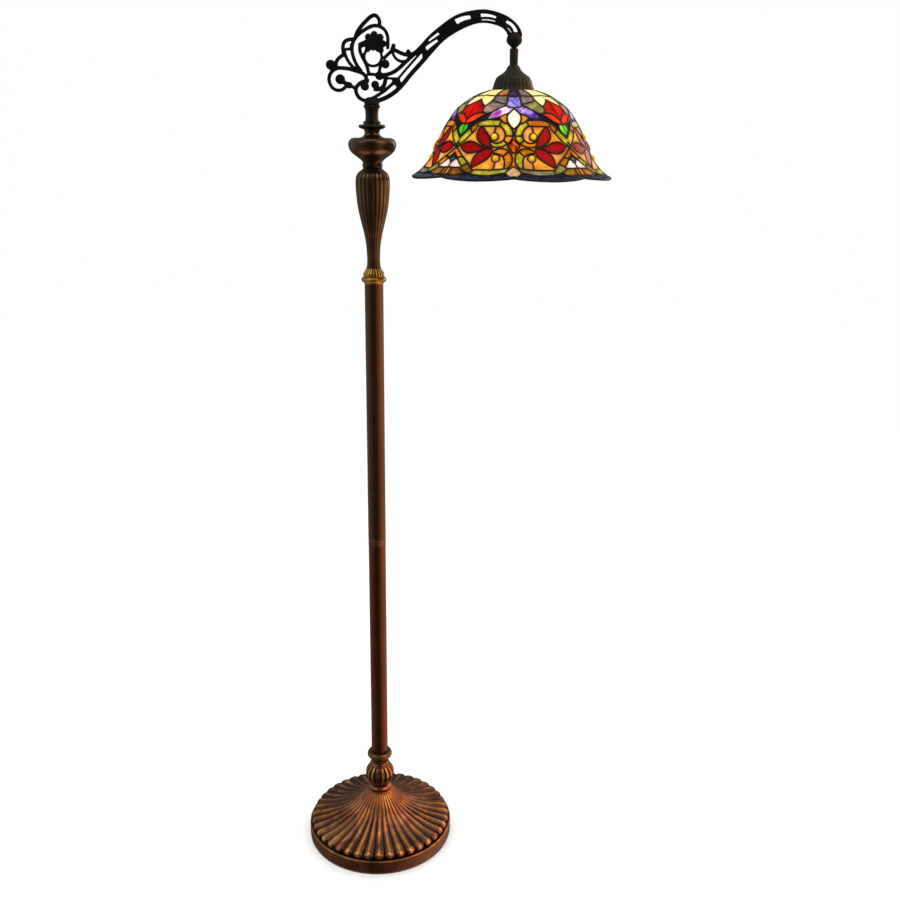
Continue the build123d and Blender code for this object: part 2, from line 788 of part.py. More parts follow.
# Shares of the cap's height and radius, from its rim up
cap_shape = [
    (0, 1), (0.12, 0.945), (0.36, 0.865), (0.48, 0.8), (0.56, 0.725),
    (0.61, 0.63), (0.72, 0.455), (0.82, 0.35), (0.93, 0.285), (1, 0.22),
]
with BuildPart() as shade_cap:
    cap_levels = []
    for up, out in cap_shape:
        cap_levels.append((cap_bottom + up * cap_height, out * cap_radius, out * cap_flute_depth))
    fluted(reach, cap_flutes, cap_levels)
    cap_inset = cap_flute_depth + cap_wall
    with BuildSketch(radial_plane(reach)):
        Polygon(
            (0, cap_bottom),
            (cap_radius - cap_inset, cap_bottom),
            (0.85 * cap_radius - cap_inset, cap_bottom + 0.36 * cap_height),
            (0.7 * cap_radius - cap_inset, cap_bottom + 0.55 * cap_height),
            (washer_radius - cap_wall, cap_roof_bottom),
            (0, cap_roof_bottom),
            align=None,
        )
    revolve(axis=shade_axis, mode=Mode.SUBTRACT)
    with Locations((reach, 0, cap_top)):
        Hole(rod_hole)
save(shade_cap, "shade_cap")

with BuildPart() as cap_washer:
    tube(reach, rod_hole, cap_washer_radius, cap_nut_top, cap_roof_bottom)
save(cap_washer, "cap_washer")

with BuildPart() as cap_nut:
    with BuildSketch(Plane((reach, 0, socket_top))):
        RegularPolygon(nut_width / 2, 6, major_radius=False)
        Circle(rod_hole, mode=Mode.SUBTRACT)
    extrude(amount=nut_height)
save(cap_nut, "cap_nut")

# Shade: one wall line from the cap's rim to the scallops, cut into bands
wall_top = cap_bottom - crown_drop
bell_radius = rim_radius - rim_flare
notch_radius = rim_radius - notch_depth
bell_spread = bell_radius - crown_radius
# Shares of the bell's spread and height, from the cap out and down
bell_shape = [
    (0, 0), (0.195, 0.06), (0.345, 0.14), (0.47, 0.225), (0.565, 0.335),
    (0.655, 0.465), (0.737, 0.615), (0.81, 0.762), (0.895, 0.895), (1, 1),
]
wall_points = []
for out, down in bell_shape:
    wall_points.append(Vector(crown_radius + out * bell_spread, wall_top - down * bell_height))
wall_line = Edge.make_spline(wall_points)
bell_bottom = wall_top - bell_height
rim_line = Edge.make_spline(
    [Vector(bell_radius, bell_bottom), Vector(rim_radius, bell_bottom - rim_drop)],
    tangents=[wall_line.tangent_at(1), Vector(1, -rim_slope)],
)
hoop_start = crown_band
body_start = crown_band + came_width
body_end = wall_line.length - came_width


def band(line, start, end, thickness):
    """Section of the wall between two lengths along its line, in the current sketch."""
    ribbon(line.trim(start / line.length, end / line.length), thickness)


def wall_place(turn, length, seat_radius, line=wall_line):
    """Plane just clear of the outer glass face at a turn about the shade and a length down the wall.

    A flat seat of the given radius on it clears the wall wherever that bows out.
    """
    spot = line.position_at(length / line.length)
    along = line.tangent_at(length / line.length)
    across = Vector(-along.Y, along.X)
    bows = []
    for share in (-1, -0.5, 0.5, 1):
        beside = line.position_at((length + share * seat_radius) / line.length)
        bows.append((beside - spot).dot(across))
    out = radians(turn)
    facing = Vector(-along.Y * cos(out), -along.Y * sin(out), along.X)
    lift = glass_thickness / 2 + max(nest_gap, *bows)
    middle = Vector(reach + spot.X * cos(out), spot.X * sin(out), spot.Y)
    return Plane(middle + facing * lift, x_dir=(-sin(out), cos(out), 0), z_dir=facing)


with BuildPart() as crown_collar:
    collar_outer = crown_radius - crown_collar_inset
    tube(reach, collar_outer - crown_collar_width, collar_outer, cap_bottom - crown_collar_height, cap_bottom)
save(crown_collar, "crown_collar")

with BuildPart() as crown_glass:
    with BuildSketch(radial_plane(reach)):
        band(wall_line, 0, hoop_start, glass_thickness)
    revolve(axis=shade_axis)
save(crown_glass, "crown_glass")

with BuildPart() as crown_hoop:
    with BuildSketch(radial_plane(reach)):
        band(wall_line, hoop_start, body_start, came_thickness)
    revolve(axis=shade_axis)
save(crown_hoop, "crown_hoop")

# Four panels, parted by upright cames
panel_arc = 360 / panel_count
panel_sides = {"right": 0, "back": panel_arc, "left": 2 * panel_arc, "front": 3 * panel_arc}
for side, facing in panel_sides.items():
    start = facing + panel_turn - panel_arc / 2
    with BuildPart() as panel:
        with BuildSketch(radial_plane(reach, start)):
            band(wall_line, body_start, body_end, glass_thickness)
        revolve(axis=shade_axis, revolution_arc=panel_arc)
        for edge in (start, start + panel_arc):
            with Locations(Location((reach, 0, wall_top), (0, 0, edge))):
                Box(3 * bell_radius, came_width, 3 * bell_height, mode=Mode.SUBTRACT)
    save(panel, f"glass_panel_{side}")

with BuildPart() as seam_cames:
    for facing in panel_sides.values():
        with BuildSketch(radial_plane(reach, facing + panel_turn + panel_arc / 2)):
            band(wall_line, body_start + nest_gap, body_end - nest_gap, came_thickness)
        extrude(amount=came_width / 2, both=True)
save(seam_cames, "seam_cames")

with BuildPart() as skirt_hoop:
    with BuildSketch(radial_plane(reach)):
        band(wall_line, body_end, wall_line.length, came_thickness)
    revolve(axis=shade_axis)
save(skirt_hoop, "skirt_hoop")

# Flared rim, trimmed to scallops in plan and parted at the notches
scallop_turn = 360 / scallop_count
with BuildPart() as rim_glass:
    with BuildSketch(radial_plane(reach)):
        band(rim_line, nest_gap, rim_line.length, glass_thickness)
    revolve(axis=shade_axis)
    with BuildSketch(Plane((reach, 0, bell_bottom - 2 * rim_drop))):
        with BuildLine():
            for lobe in range(scallop_count):
                turns = [panel_turn + (lobe + share) * scallop_turn for share in (0, 0.5, 1)]
                radii = (notch_radius, rim_radius, notch_radius)
                points = [(r * cos(radians(t)), r * sin(radians(t))) for r, t in zip(radii, turns)]
                ThreePointArc(*points)
        make_face()
    extrude(amount=4 * rim_drop, mode=Mode.INTERSECT)
    for notch in range(scallop_count):
        with Locations(Location((reach, 0, bell_bottom), (0, 0, panel_turn + notch * scallop_turn))):
            outwards = (Align.MIN, Align.CENTER, Align.CENTER)
            Box(2 * rim_radius, came_width, 4 * rim_drop, align=outwards, mode=Mode.SUBTRACT)
save(rim_glass, "rim_glass")

notch_length = rim_line.length * (notch_radius - bell_radius) / (rim_radius - bell_radius)
with BuildPart() as rim_cames:
    for notch in range(scallop_count):
        with BuildSketch(radial_plane(reach, panel_turn + notch * scallop_turn)):
            band(rim_line, 2 * nest_gap, notch_length, came_thickness)
        extrude(amount=came_width / 2, both=True)
save(rim_cames, "rim_cames")

with BuildPart() as diamond_jewels:
    for facing in panel_sides.values():
        with BuildSketch(wall_place(facing + panel_turn, jewel_place, jewel_length / 2)):
            with BuildLine():
                half_width = jewel_width / 2
                half_length = jewel_length / 2
                Polyline((half_width, 0), (0, half_length), (-half_width, 0), (0, -half_length), close=True)
            make_face()
        extrude(amount=jewel_rise, taper=jewel_taper)
save(diamond_jewels, "diamond_jewels")

with BuildPart() as cabochon_jewels:
    for facing in panel_sides.values():
        for sideways in (-1, 1):
            for down in (-1, 1):
                turn = facing + panel_turn + sideways * cabochon_turn
                spot = wall_place(turn, cabochon_place + down * cabochon_spread, cabochon_radius)
                with Locations(Location(spot)):
                    Sphere(cabochon_radius, arc_size1=0, align=(Align.CENTER, Align.CENTER, Align.MIN))
save(cabochon_jewels, "cabochon_jewels")

# Lampholder: cap on the nipple, sheet shell, insulating liner, core, screw shell, contact and turn key
cap_skirt = socket_top - socket_cap_height
core_top = cap_skirt + socket_overlap
socket_bottom = core_top - socket_length
core_bottom = core_top - core_height
key_height = core_top - 0.55 * core_height
liner_radius = socket_radius - socket_sheet - nest_gap
core_radius = liner_radius - liner_sheet - nest_gap
key_hole = key_stem_radius + running_gap
cap_bore = socket_radius + nest_gap
cap_outer = cap_bore + socket_sheet
hub_bottom = socket_top - socket_hub_height
cap_fall = hub_bottom - cap_skirt
shell_top = hub_bottom - 0.65 * cap_fall

with BuildPart() as socket_cap:
    with BuildSketch(radial_plane(reach)):
        Polygon(
            (rod_hole, socket_top),
            (socket_hub_radius, socket_top),
            (socket_hub_radius, hub_bottom),
            (0.75 * cap_outer, hub_bottom - 0.16 * cap_fall),
            (cap_outer, hub_bottom - 0.58 * cap_fall),
            (cap_outer, cap_skirt),
            (cap_bore, cap_skirt),
            (cap_bore, hub_bottom - 0.61 * cap_fall),
            (0.7 * cap_bore, hub_bottom - 0.26 * cap_fall),
            (rod_hole, hub_bottom - 0.13 * cap_fall),
            align=None,
        )
    revolve(axis=shade_axis)
save(socket_cap, "socket_cap")

with BuildPart() as socket_shell:
    tube(reach, socket_radius - socket_sheet, socket_radius, socket_bottom, shell_top)
    with BuildSketch(Plane.YZ.offset(reach)):
        with Locations((0, key_height)):
            Circle(key_hole)
    extrude(amount=2 * socket_radius, mode=Mode.SUBTRACT)
save(socket_shell, "socket_shell")

with BuildPart() as socket_liner:
    tube(reach, liner_radius - liner_sheet, liner_radius, socket_bottom + liner_inset, core_top)
    with BuildSketch(Plane.YZ.offset(reach)):
        with Locations((0, key_height)):
            Circle(key_hole)
    extrude(amount=2 * socket_radius, mode=Mode.SUBTRACT)
save(socket_liner, "socket_liner")

with BuildPart() as socket_core:
    with Locations((reach, 0, core_bottom)):
        Cylinder(core_radius, core_height, align=(Align.CENTER, Align.CENTER, Align.MIN))
    with BuildSketch(Plane.YZ.offset(reach + core_radius - key_depth - face_gap)):
        with Locations((0, key_height)):
            Circle(key_hole)
    extrude(amount=2 * key_depth, mode=Mode.SUBTRACT)
save(socket_core, "socket_core")

with BuildPart() as screw_shell:
    tube(reach, core_radius - screw_shell_sheet, core_radius, core_bottom - screw_shell_length, core_bottom)
save(screw_shell, "screw_shell")

contact_bottom = core_bottom - contact_height
with BuildPart() as center_contact:
    with Locations((reach, 0, contact_bottom)):
        Cylinder(contact_radius, contact_height, align=(Align.CENTER, Align.CENTER, Align.MIN))
save(center_contact, "center_contact")

with BuildPart() as switch_key:
    key_inner = reach + core_radius - key_depth
    paddle_start = reach + key_reach - key_length
    with BuildSketch(Plane.YZ.offset(key_inner)):
        with Locations((0, key_height)):
            Circle(key_stem_radius)
    extrude(amount=paddle_start - key_inner + key_overlap)
    with BuildSketch(Plane.XZ.offset(-key_thickness / 2)):
        with Locations((reach + key_reach - key_length / 2, key_height)):
            RectangleRounded(key_length, key_width, key_width / 3)
    extrude(amount=key_thickness)
save(switch_key, "switch_key")

# Bulb, screwed up against the contact
bulb_top = contact_bottom - nest_gap
bulb_rim = bulb_top - bulb_base_length
base_outer = min(bulb_base_radius, core_radius - screw_shell_sheet - nest_gap)
with BuildPart() as bulb_base:
    with BuildSketch(radial_plane(reach)):
        Polygon(
            (0, bulb_top),
            (contact_radius, bulb_top),
            (1.1 * contact_radius, bulb_top - 0.07 * bulb_base_length),
            (0.85 * base_outer, bulb_top - 0.17 * bulb_base_length),
            (base_outer, bulb_top - 0.25 * bulb_base_length),
            (base_outer, bulb_rim),
            (base_outer - bulb_base_wall, bulb_rim),
            (base_outer - bulb_base_wall, bulb_top - 0.29 * bulb_base_length),
            (0, bulb_top - 0.29 * bulb_base_length),
            align=None,
        )
    revolve(axis=shade_axis)
save(bulb_base, "bulb_base")

glass_neck = base_outer - bulb_base_wall - nest_gap
bulb_low = bulb_rim - bulb_length
with BuildPart() as bulb_glass:
    outside = [
        (glass_neck, bulb_rim + bulb_tuck),
        (1.02 * glass_neck, bulb_rim - 0.06 * bulb_length),
        (0.62 * bulb_radius, bulb_rim - 0.27 * bulb_length),
        (bulb_radius, bulb_rim - 0.66 * bulb_length),
        (0.72 * bulb_radius, bulb_rim - 0.92 * bulb_length),
        (0, bulb_low),
    ]
    inside = [
        (glass_neck - bulb_wall, bulb_rim + bulb_tuck),
        (1.02 * glass_neck - bulb_wall, bulb_rim - 0.06 * bulb_length),
        (0.62 * bulb_radius - bulb_wall, bulb_rim - 0.27 * bulb_length),
        (bulb_radius - bulb_wall, bulb_rim - 0.66 * bulb_length),
        (0.72 * bulb_radius - bulb_wall, bulb_rim - 0.92 * bulb_length + bulb_wall),
        (0, bulb_low + bulb_wall),
    ]
    with BuildSketch(radial_plane(reach)):
        with BuildLine():
            Spline(*outside)
            Spline(*inside)
            Line(outside[0], inside[0])
            Line(outside[-1], inside[-1])
        make_face()
    revolve(axis=shade_axis)
save(bulb_glass, "bulb_glass")
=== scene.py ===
"""Looks of the bridge-arm floor lamp: fluted bronze foot and column, scroll arm, leaded bell shade."""

import math
import random

import bpy
import numpy as np
from mathutils import Matrix, Vector
from mathutils.geometry import delaunay_2d_cdt


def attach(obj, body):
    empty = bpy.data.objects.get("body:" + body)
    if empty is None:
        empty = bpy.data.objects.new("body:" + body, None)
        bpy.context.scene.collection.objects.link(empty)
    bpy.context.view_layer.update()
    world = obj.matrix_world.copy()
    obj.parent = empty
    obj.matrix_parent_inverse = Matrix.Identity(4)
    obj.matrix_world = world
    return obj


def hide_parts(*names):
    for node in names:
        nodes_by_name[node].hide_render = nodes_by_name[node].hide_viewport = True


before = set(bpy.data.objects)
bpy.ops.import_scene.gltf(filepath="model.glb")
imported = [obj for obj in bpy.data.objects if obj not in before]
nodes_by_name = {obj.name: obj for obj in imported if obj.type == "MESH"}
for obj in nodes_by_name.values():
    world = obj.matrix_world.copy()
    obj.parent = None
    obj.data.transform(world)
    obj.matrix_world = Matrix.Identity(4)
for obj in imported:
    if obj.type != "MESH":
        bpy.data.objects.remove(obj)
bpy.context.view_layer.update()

MM = 0.001
scene = bpy.context.scene

# Sizes that follow the solids, in millimetres
SHADE_X = 232.0
PANEL_TURN = -1.6
CAP_RIM_Z = 1424.0
WALL_TOP_Z = 1422.8
CROWN_RADIUS = 36.2
BELL_RADIUS = 150.0
BELL_HEIGHT = 126.0
RIM_RADIUS = 169.0
RIM_DROP = 10.3
RIM_SLOPE = 0.45
NOTCH_RADIUS = 160.0
SCALLOPS = 8
GLASS = 3.0
UPWARD = np.array([0.0, 0.0, 1.0])


# Curves and meshes


def bend(t, start, leave, end, arrive):
    """Spot on a smooth bend between two points, from the directions in which it leaves and arrives."""
    return (
        (2 * t**3 - 3 * t**2 + 1) * start
        + (t**3 - 2 * t**2 + t) * leave
        + (3 * t**2 - 2 * t**3) * end
        + (t**3 - t**2) * arrive
    )


def flow(points, step):
    """Smooth line through the points, as points about one step apart."""
    spots = [np.array(p, float) for p in points]
    ghosts = [2 * spots[0] - spots[1], *spots, 2 * spots[-1] - spots[-2]]
    line = []
    for before, start, end, after in zip(ghosts, ghosts[1:], ghosts[2:], ghosts[3:]):
        span = np.linalg.norm(end - start)
        lead_in = span / max(np.linalg.norm(start - before), 1e-9)
        lead_out = span / max(np.linalg.norm(after - end), 1e-9)
        leave = ((end - start) + (start - before) * lead_in) / 2
        arrive = ((after - end) * lead_out + (end - start)) / 2
        count = max(1, round(span / step))
        line.extend(bend(index / count, start, leave, end, arrive) for index in range(count))
    line.append(spots[-1])
    return np.array(line)


def unit(vectors):
    """Vectors scaled to length one."""
    return vectors / np.linalg.norm(vectors, axis=-1, keepdims=True)


def square_to(axis):
    """Level and upright directions square to an axis."""
    across = unit(np.cross(axis, UPWARD))
    return across, np.cross(across, axis)


def circle(middle, across, up, radius, sides):
    """Corners round a circle."""
    angles = [2 * math.pi * step / sides for step in range(sides)]
    return [middle + radius * (math.cos(a) * across + math.sin(a) * up) for a in angles]


def ring_faces(rings, around, flipped=False):
    """Faces between rings of corners that follow each other."""
    faces = []
    for ring in range(rings - 1):
        for step in range(around):
            here = ring * around + step
            after = ring * around + (step + 1) % around
            if flipped:
                faces.append((here, here + around, after + around, after))
            else:
                faces.append((here, after, after + around, here + around))
    return faces


def make_mesh(name, corners, faces, materials, face_materials=None, smooth=True, crease=None):
    """New object from corners in millimetres."""
    mesh = bpy.data.meshes.new(name)
    mesh.from_pydata([tuple(MM * c for c in corner) for corner in corners], [], faces)
    mesh.update()
    for material in materials:
        mesh.materials.append(material)
    if face_materials is not None:
        mesh.polygons.foreach_set("material_index", face_materials)
    mesh.polygons.foreach_set("use_smooth", [smooth] * len(mesh.polygons))
    if crease is not None:
        mesh.set_sharp_from_angle(angle=math.radians(crease))
    piece = bpy.data.objects.new(name, mesh)
    scene.collection.objects.link(piece)
    return piece


def paint(piece, name, values):
    """Store one number for each corner of a mesh, for its material to read."""
    attribute = piece.data.attributes.new(name, "FLOAT", "POINT")
    attribute.data.foreach_set("value", np.asarray(values, np.float32))


def settle(piece):
    """Make what a piece's modifiers do part of its mesh."""
    bpy.context.view_layer.update()
    settled = bpy.data.meshes.new_from_object(piece.evaluated_get(bpy.context.evaluated_depsgraph_get()))
    piece.modifiers.clear()
    piece.data = settled


def dress(piece, body, slot, *replaced):
    """Put a finished piece on its body, in the place of CAD nodes."""
    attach(piece, body)
    if replaced:
        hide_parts(*replaced)
    return piece


def reed(share, fullness):
    """Height of a round reed across its pitch: 0 in the groove, 1 on the crest."""
    across = abs(2 * (share % 1) - 1)
    return math.sqrt(max(0.0, 1 - across**fullness))


PLAIN_RELIEF = 0.65  # of a stretch with no grooves
END_RELIEF = 0.5
GROOVED = 1.6  # how soon deeper grooves get their full relief
CREASE = 50  # degrees


def ribbed(name, x, line, depths, lobes, per_lobe, turn, material, fullness=2.6, wear_and_highlight=None):
    """Turned piece about the axis at x whose line (radius, height) is cut by grooves between round reeds.

    Depths are measured square to the line. The corners keep their place from groove to crest as relief,
    or take one given relief for each row."""
    line = np.asarray(line, float)
    along = unit(np.gradient(line, axis=0))
    inward = np.stack([-along[:, 1], along[:, 0]], 1)
    if np.sum(inward[:, 0]) > 0:
        inward = -inward
    around = lobes * per_lobe
    crests = np.array([reed(step / per_lobe, fullness) for step in range(around)])
    slopes = 1 - abs(2 * (np.arange(around) / per_lobe % 1) - 1)
    angles = np.radians(turn) + 2 * np.pi * np.arange(around) / around
    corners, relief = [], []
    deepest = max(max(depths), 1e-6)
    for row, ((radius, height), normal, depth) in enumerate(zip(line, inward, depths)):
        sink = depth * (1 - crests)
        radii = radius + normal[0] * sink
        heights = height + normal[1] * sink
        corners.extend(zip(x + radii * np.cos(angles), radii * np.sin(angles), heights))
        if wear_and_highlight is None:
            share = min(1.0, GROOVED * depth / deepest)
            relief.extend(PLAIN_RELIEF + (slopes - PLAIN_RELIEF) * share)
        else:
            relief.extend([wear_and_highlight[row]] * around)
    faces = ring_faces(len(line), around)
    for ring, ordered in ((0, True), (len(line) - 1, False)):
        corners.append((x, 0, line[ring][1]))
        relief.append(END_RELIEF)
        for step in range(around):
            after = (step + 1) % around
            fan = (len(corners) - 1, ring * around + after, ring * around + step)
            faces.append(fan if ordered else fan[::-1])
    piece = make_mesh(name, corners, faces, [material], crease=CREASE)
    paint(piece, "relief", relief)
    return piece


def bore_hole(piece, place, along, radius, length):
    """Drill a round hole through a piece, in millimetres."""
    sides = 32
    axis = unit(np.array(along, float))
    across, up = square_to(axis)
    corners = []
    for end in (-length / 2, length / 2):
        corners.extend(circle(place + end * axis, across, up, radius, sides))
    ends = [tuple(range(sides)), tuple(reversed(range(sides, 2 * sides)))]
    drill = make_mesh("drill", corners, ends + ring_faces(2, sides, flipped=True), [])
    cut = piece.modifiers.new("drill", "BOOLEAN")
    cut.object = drill
    settle(piece)
    bpy.data.objects.remove(drill)


# Finishes


def rgb(code):
    """Linear colour of a screen colour code."""
    parts = [int(code[i:i + 2], 16) / 255 for i in (0, 2, 4)]
    return (*[p / 12.92 if p <= 0.04045 else ((p + 0.055) / 1.055) ** 2.4 for p in parts], 1.0)


def new_group(name, inputs, outputs):
    """Empty node group with named sockets, and its two end nodes."""
    group = bpy.data.node_groups.new(name, "ShaderNodeTree")
    for label, kind, value in inputs:
        socket = group.interface.new_socket(label, in_out="INPUT", socket_type=kind)
        socket.default_value = value
    for label, kind in outputs:
        group.interface.new_socket(label, in_out="OUTPUT", socket_type=kind)
    return group, group.nodes.new("NodeGroupInput"), group.nodes.new("NodeGroupOutput")


COLOR, FLOAT = "NodeSocketColor", "NodeSocketFloat"
WHITE = (1, 1, 1, 1)


def noise(tree, place, scale, detail=4.0, distortion=0.0, stretch=(1, 1, 1)):
    """Noise over the object's own coordinates, in features per metre."""
    mapping = tree.nodes.new("ShaderNodeMapping")
    mapping.inputs["Scale"].default_value = stretch
    tree.links.new(place, mapping.inputs["Vector"])
    texture = tree.nodes.new("ShaderNodeTexNoise")
    texture.inputs["Scale"].default_value = scale
    texture.inputs["Detail"].default_value = detail
    texture.inputs["Distortion"].default_value = distortion
    tree.links.new(mapping.outputs["Vector"], texture.inputs["Vector"])
    return texture.outputs["Fac"]


def ramp(tree, value, low, high, to_low=0.0, to_high=1.0):
    """Value stretched from one range to another, clamped."""
    node = tree.nodes.new("ShaderNodeMapRange")
    node.inputs["From Min"].default_value = low
    node.inputs["From Max"].default_value = high
    node.inputs["To Min"].default_value = to_low
    node.inputs["To Max"].default_value = to_high
    tree.links.new(value, node.inputs["Value"])
    return node.outputs["Result"]


def blend(tree, factor, first, second):
    """Mix of two colours, each a socket."""
    node = tree.nodes.new("ShaderNodeMix")
    node.data_type = "RGBA"
    tree.links.new(factor, node.inputs["Factor"])
    tree.links.new(first, node.inputs["A"])
    tree.links.new(second, node.inputs["B"])
    return node.outputs["Result"]


def combine(tree, operation, first, second):
    """Arithmetic on two sockets, or a socket and a number."""
    node = tree.nodes.new("ShaderNodeMath")
    node.operation = operation
    tree.links.new(first, node.inputs[0])
    if isinstance(second, (int, float)):
        node.inputs[1].default_value = second
    else:
        tree.links.new(second, node.inputs[1])
    return node.outputs[0]


def make_rubbed_patina():
    """Dark patina in the grooves, body colour over the sides, bright metal rubbed through on the ridges."""
    group, given, result = new_group(
        "rubbed_patina",
        [("Ridge", COLOR, WHITE), ("Body", COLOR, WHITE), ("Groove", COLOR, WHITE),
         ("Relief", FLOAT, 0.5), ("Rubbing", FLOAT, 0.5), ("Roughness", FLOAT, 0.35)],
        [("Color", COLOR), ("Roughness", FLOAT), ("Height", FLOAT)],
    )
    place = group.nodes.new("ShaderNodeTexCoord").outputs["Object"]
    cloud = noise(group, place, 38.0, 5.0, 0.6)
    speck = noise(group, place, 420.0, 3.0)
    ragged = combine(group, "ADD", given.outputs["Relief"], ramp(group, cloud, 0.3, 0.7, -0.22, 0.22))
    sides = blend(group, ramp(group, ragged, 0.25, 0.7), given.outputs["Groove"], given.outputs["Body"])
    # Bright metal rubbed through on the ridges; on the foot wall's top edge the same share is a painted
    # highlight
    wear_and_highlight = combine(group, "MULTIPLY", ramp(group, ragged, 0.72, 1.1), given.outputs["Rubbing"])
    wear_and_highlight = combine(group, "MULTIPLY", wear_and_highlight, ramp(group, speck, 0.3, 0.62, 0.55, 1.0))
    group.links.new(blend(group, wear_and_highlight, sides, given.outputs["Ridge"]), result.inputs["Color"])
    rough = combine(group, "ADD", given.outputs["Roughness"], ramp(group, cloud, 0.3, 0.7, -0.07, 0.1))
    group.links.new(combine(group, "SUBTRACT", rough, combine(group, "MULTIPLY", wear_and_highlight, 0.1)),
                    result.inputs["Roughness"])
    group.links.new(speck, result.inputs["Height"])
    return group


def make_drawn_streaks():
    """Long faint streaks that run up a drawn tube, and slow clouds of deeper lacquer."""
    group, given, result = new_group(
        "drawn_streaks",
        [("Light", COLOR, WHITE), ("Dark", COLOR, WHITE), ("Roughness", FLOAT, 0.3)],
        [("Color", COLOR), ("Roughness", FLOAT), ("Height", FLOAT)],
    )
    place = group.nodes.new("ShaderNodeTexCoord").outputs["Object"]
    streak = noise(group, place, 330.0, 3.0, 0.0, (1, 1, 0.012))
    cloud = noise(group, place, 14.0, 4.0, 0.4)
    share = combine(group, "ADD", ramp(group, streak, 0.32, 0.68, 0.0, 0.7),
                    ramp(group, cloud, 0.3, 0.7, -0.1, 0.35))
    color = blend(group, share, given.outputs["Dark"], given.outputs["Light"])
    rough = combine(group, "ADD", given.outputs["Roughness"], ramp(group, cloud, 0.3, 0.7, -0.05, 0.12))
    group.links.new(color, result.inputs["Color"])
    group.links.new(rough, result.inputs["Roughness"])
    group.links.new(streak, result.inputs["Height"])
    return group


def make_streaky_glass():
    """Rolled art glass: wisps of a deep colour through a pale one, each piece a little lighter or darker,
    and all of them given a painted shade beside their lead."""
    group, given, result = new_group(
        "streaky_glass",
        [("Pale", COLOR, WHITE), ("Deep", COLOR, WHITE), ("Tone", FLOAT, 0.5), ("Wisps", FLOAT, 1.0),
         ("Unshaded", FLOAT, 1.0)],
        [("Color", COLOR), ("Body", COLOR), ("Height", FLOAT)],
    )
    place = group.nodes.new("ShaderNodeTexCoord").outputs["Object"]
    wisp = noise(group, place, 62.0, 5.0, 1.8, (1, 1, 0.55))
    ripple = noise(group, place, 170.0, 3.0, 0.3)
    share = combine(group, "MULTIPLY", ramp(group, wisp, 0.36, 0.66), given.outputs["Wisps"])
    share = combine(group, "ADD", share, ramp(group, given.outputs["Tone"], 0.0, 1.0, -0.22, 0.3))
    clamped = ramp(group, share, 0.0, 1.0)
    even = blend(group, clamped, given.outputs["Pale"], given.outputs["Deep"])
    # Painted shade: where the unshaded share is low, the colour drops to 40 % of its value
    shaded = group.nodes.new("ShaderNodeHueSaturation")
    shaded.inputs["Value"].default_value = 0.4
    group.links.new(even, shaded.inputs["Color"])
    color = blend(group, given.outputs["Unshaded"], shaded.outputs["Color"], even)
    group.links.new(color, result.inputs["Color"])
    shade = group.nodes.new("ShaderNodeHueSaturation")
    shade.inputs["Value"].default_value = 0.12
    group.links.new(color, shade.inputs["Color"])
    group.links.new(shade.outputs["Color"], result.inputs["Body"])
    group.links.new(ripple, result.inputs["Height"])
    return group


rubbed_patina = make_rubbed_patina()
drawn_streaks = make_drawn_streaks()
streaky_glass = make_streaky_glass()


def new_finish(name, group, values):
    """Material with a Principled shader and one of the groups, its sockets set by name."""
    material = bpy.data.materials.new(name)
    material.use_nodes = True
    tree = material.node_tree
    shader = tree.nodes["Principled BSDF"]
    look = tree.nodes.new("ShaderNodeGroup")
    look.node_tree = group
    for label, value in values.items():
        look.inputs[label].default_value = rgb(value) if isinstance(value, str) else value
    tree.links.new(look.outputs["Color"], shader.inputs["Base Color"])
    return material, tree, shader, look


def add_bump(tree, shader, height, distance, strength):
    """Fine relief from a height, over a distance in metres."""
    bump = tree.nodes.new("ShaderNodeBump")
    bump.inputs["Distance"].default_value = distance
    bump.inputs["Strength"].default_value = strength
    tree.links.new(height, bump.inputs["Height"])
    tree.links.new(bump.outputs["Normal"], shader.inputs["Normal"])


def read_mark(tree, name):
    """A number stored on the mesh's corners."""
    node = tree.nodes.new("ShaderNodeAttribute")
    node.attribute_name = name
    return node.outputs["Fac"]


def patina(name, ridge, body, groove, rubbing, roughness, metallic, marked, grain=0.35, coat=0.25,
           gloss=0.5):
    """Antique plated casting. Marked pieces carry their own relief; plain ones have an even one."""
    values = {"Ridge": ridge, "Body": body, "Groove": groove, "Rubbing": rubbing, "Roughness": roughness,
              "Relief": 0.62}
    material, tree, shader, look = new_finish(name, rubbed_patina, values)
    if marked:
        tree.links.new(read_mark(tree, "relief"), look.inputs["Relief"])
    tree.links.new(look.outputs["Roughness"], shader.inputs["Roughness"])
    shader.inputs["Metallic"].default_value = metallic
    shader.inputs["Specular IOR Level"].default_value = gloss
    shader.inputs["Coat Weight"].default_value = coat
    shader.inputs["Coat Roughness"].default_value = 0.2
    add_bump(tree, shader, look.outputs["Height"], 0.0002, grain)
    return material


def lacquered_tube(name, light, dark, roughness):
    """Bronze lacquer on drawn tube."""
    values = {"Light": light, "Dark": dark, "Roughness": roughness}
    material, tree, shader, look = new_finish(name, drawn_streaks, values)
    tree.links.new(look.outputs["Roughness"], shader.inputs["Roughness"])
    shader.inputs["Metallic"].default_value = 0.85
    shader.inputs["Coat Weight"].default_value = 0.08
    shader.inputs["Coat Roughness"].default_value = 0.15
    add_bump(tree, shader, look.outputs["Height"], 0.0001, 0.25)
    return material


LIT = 1.38  # how strongly the bulb shines through the glass


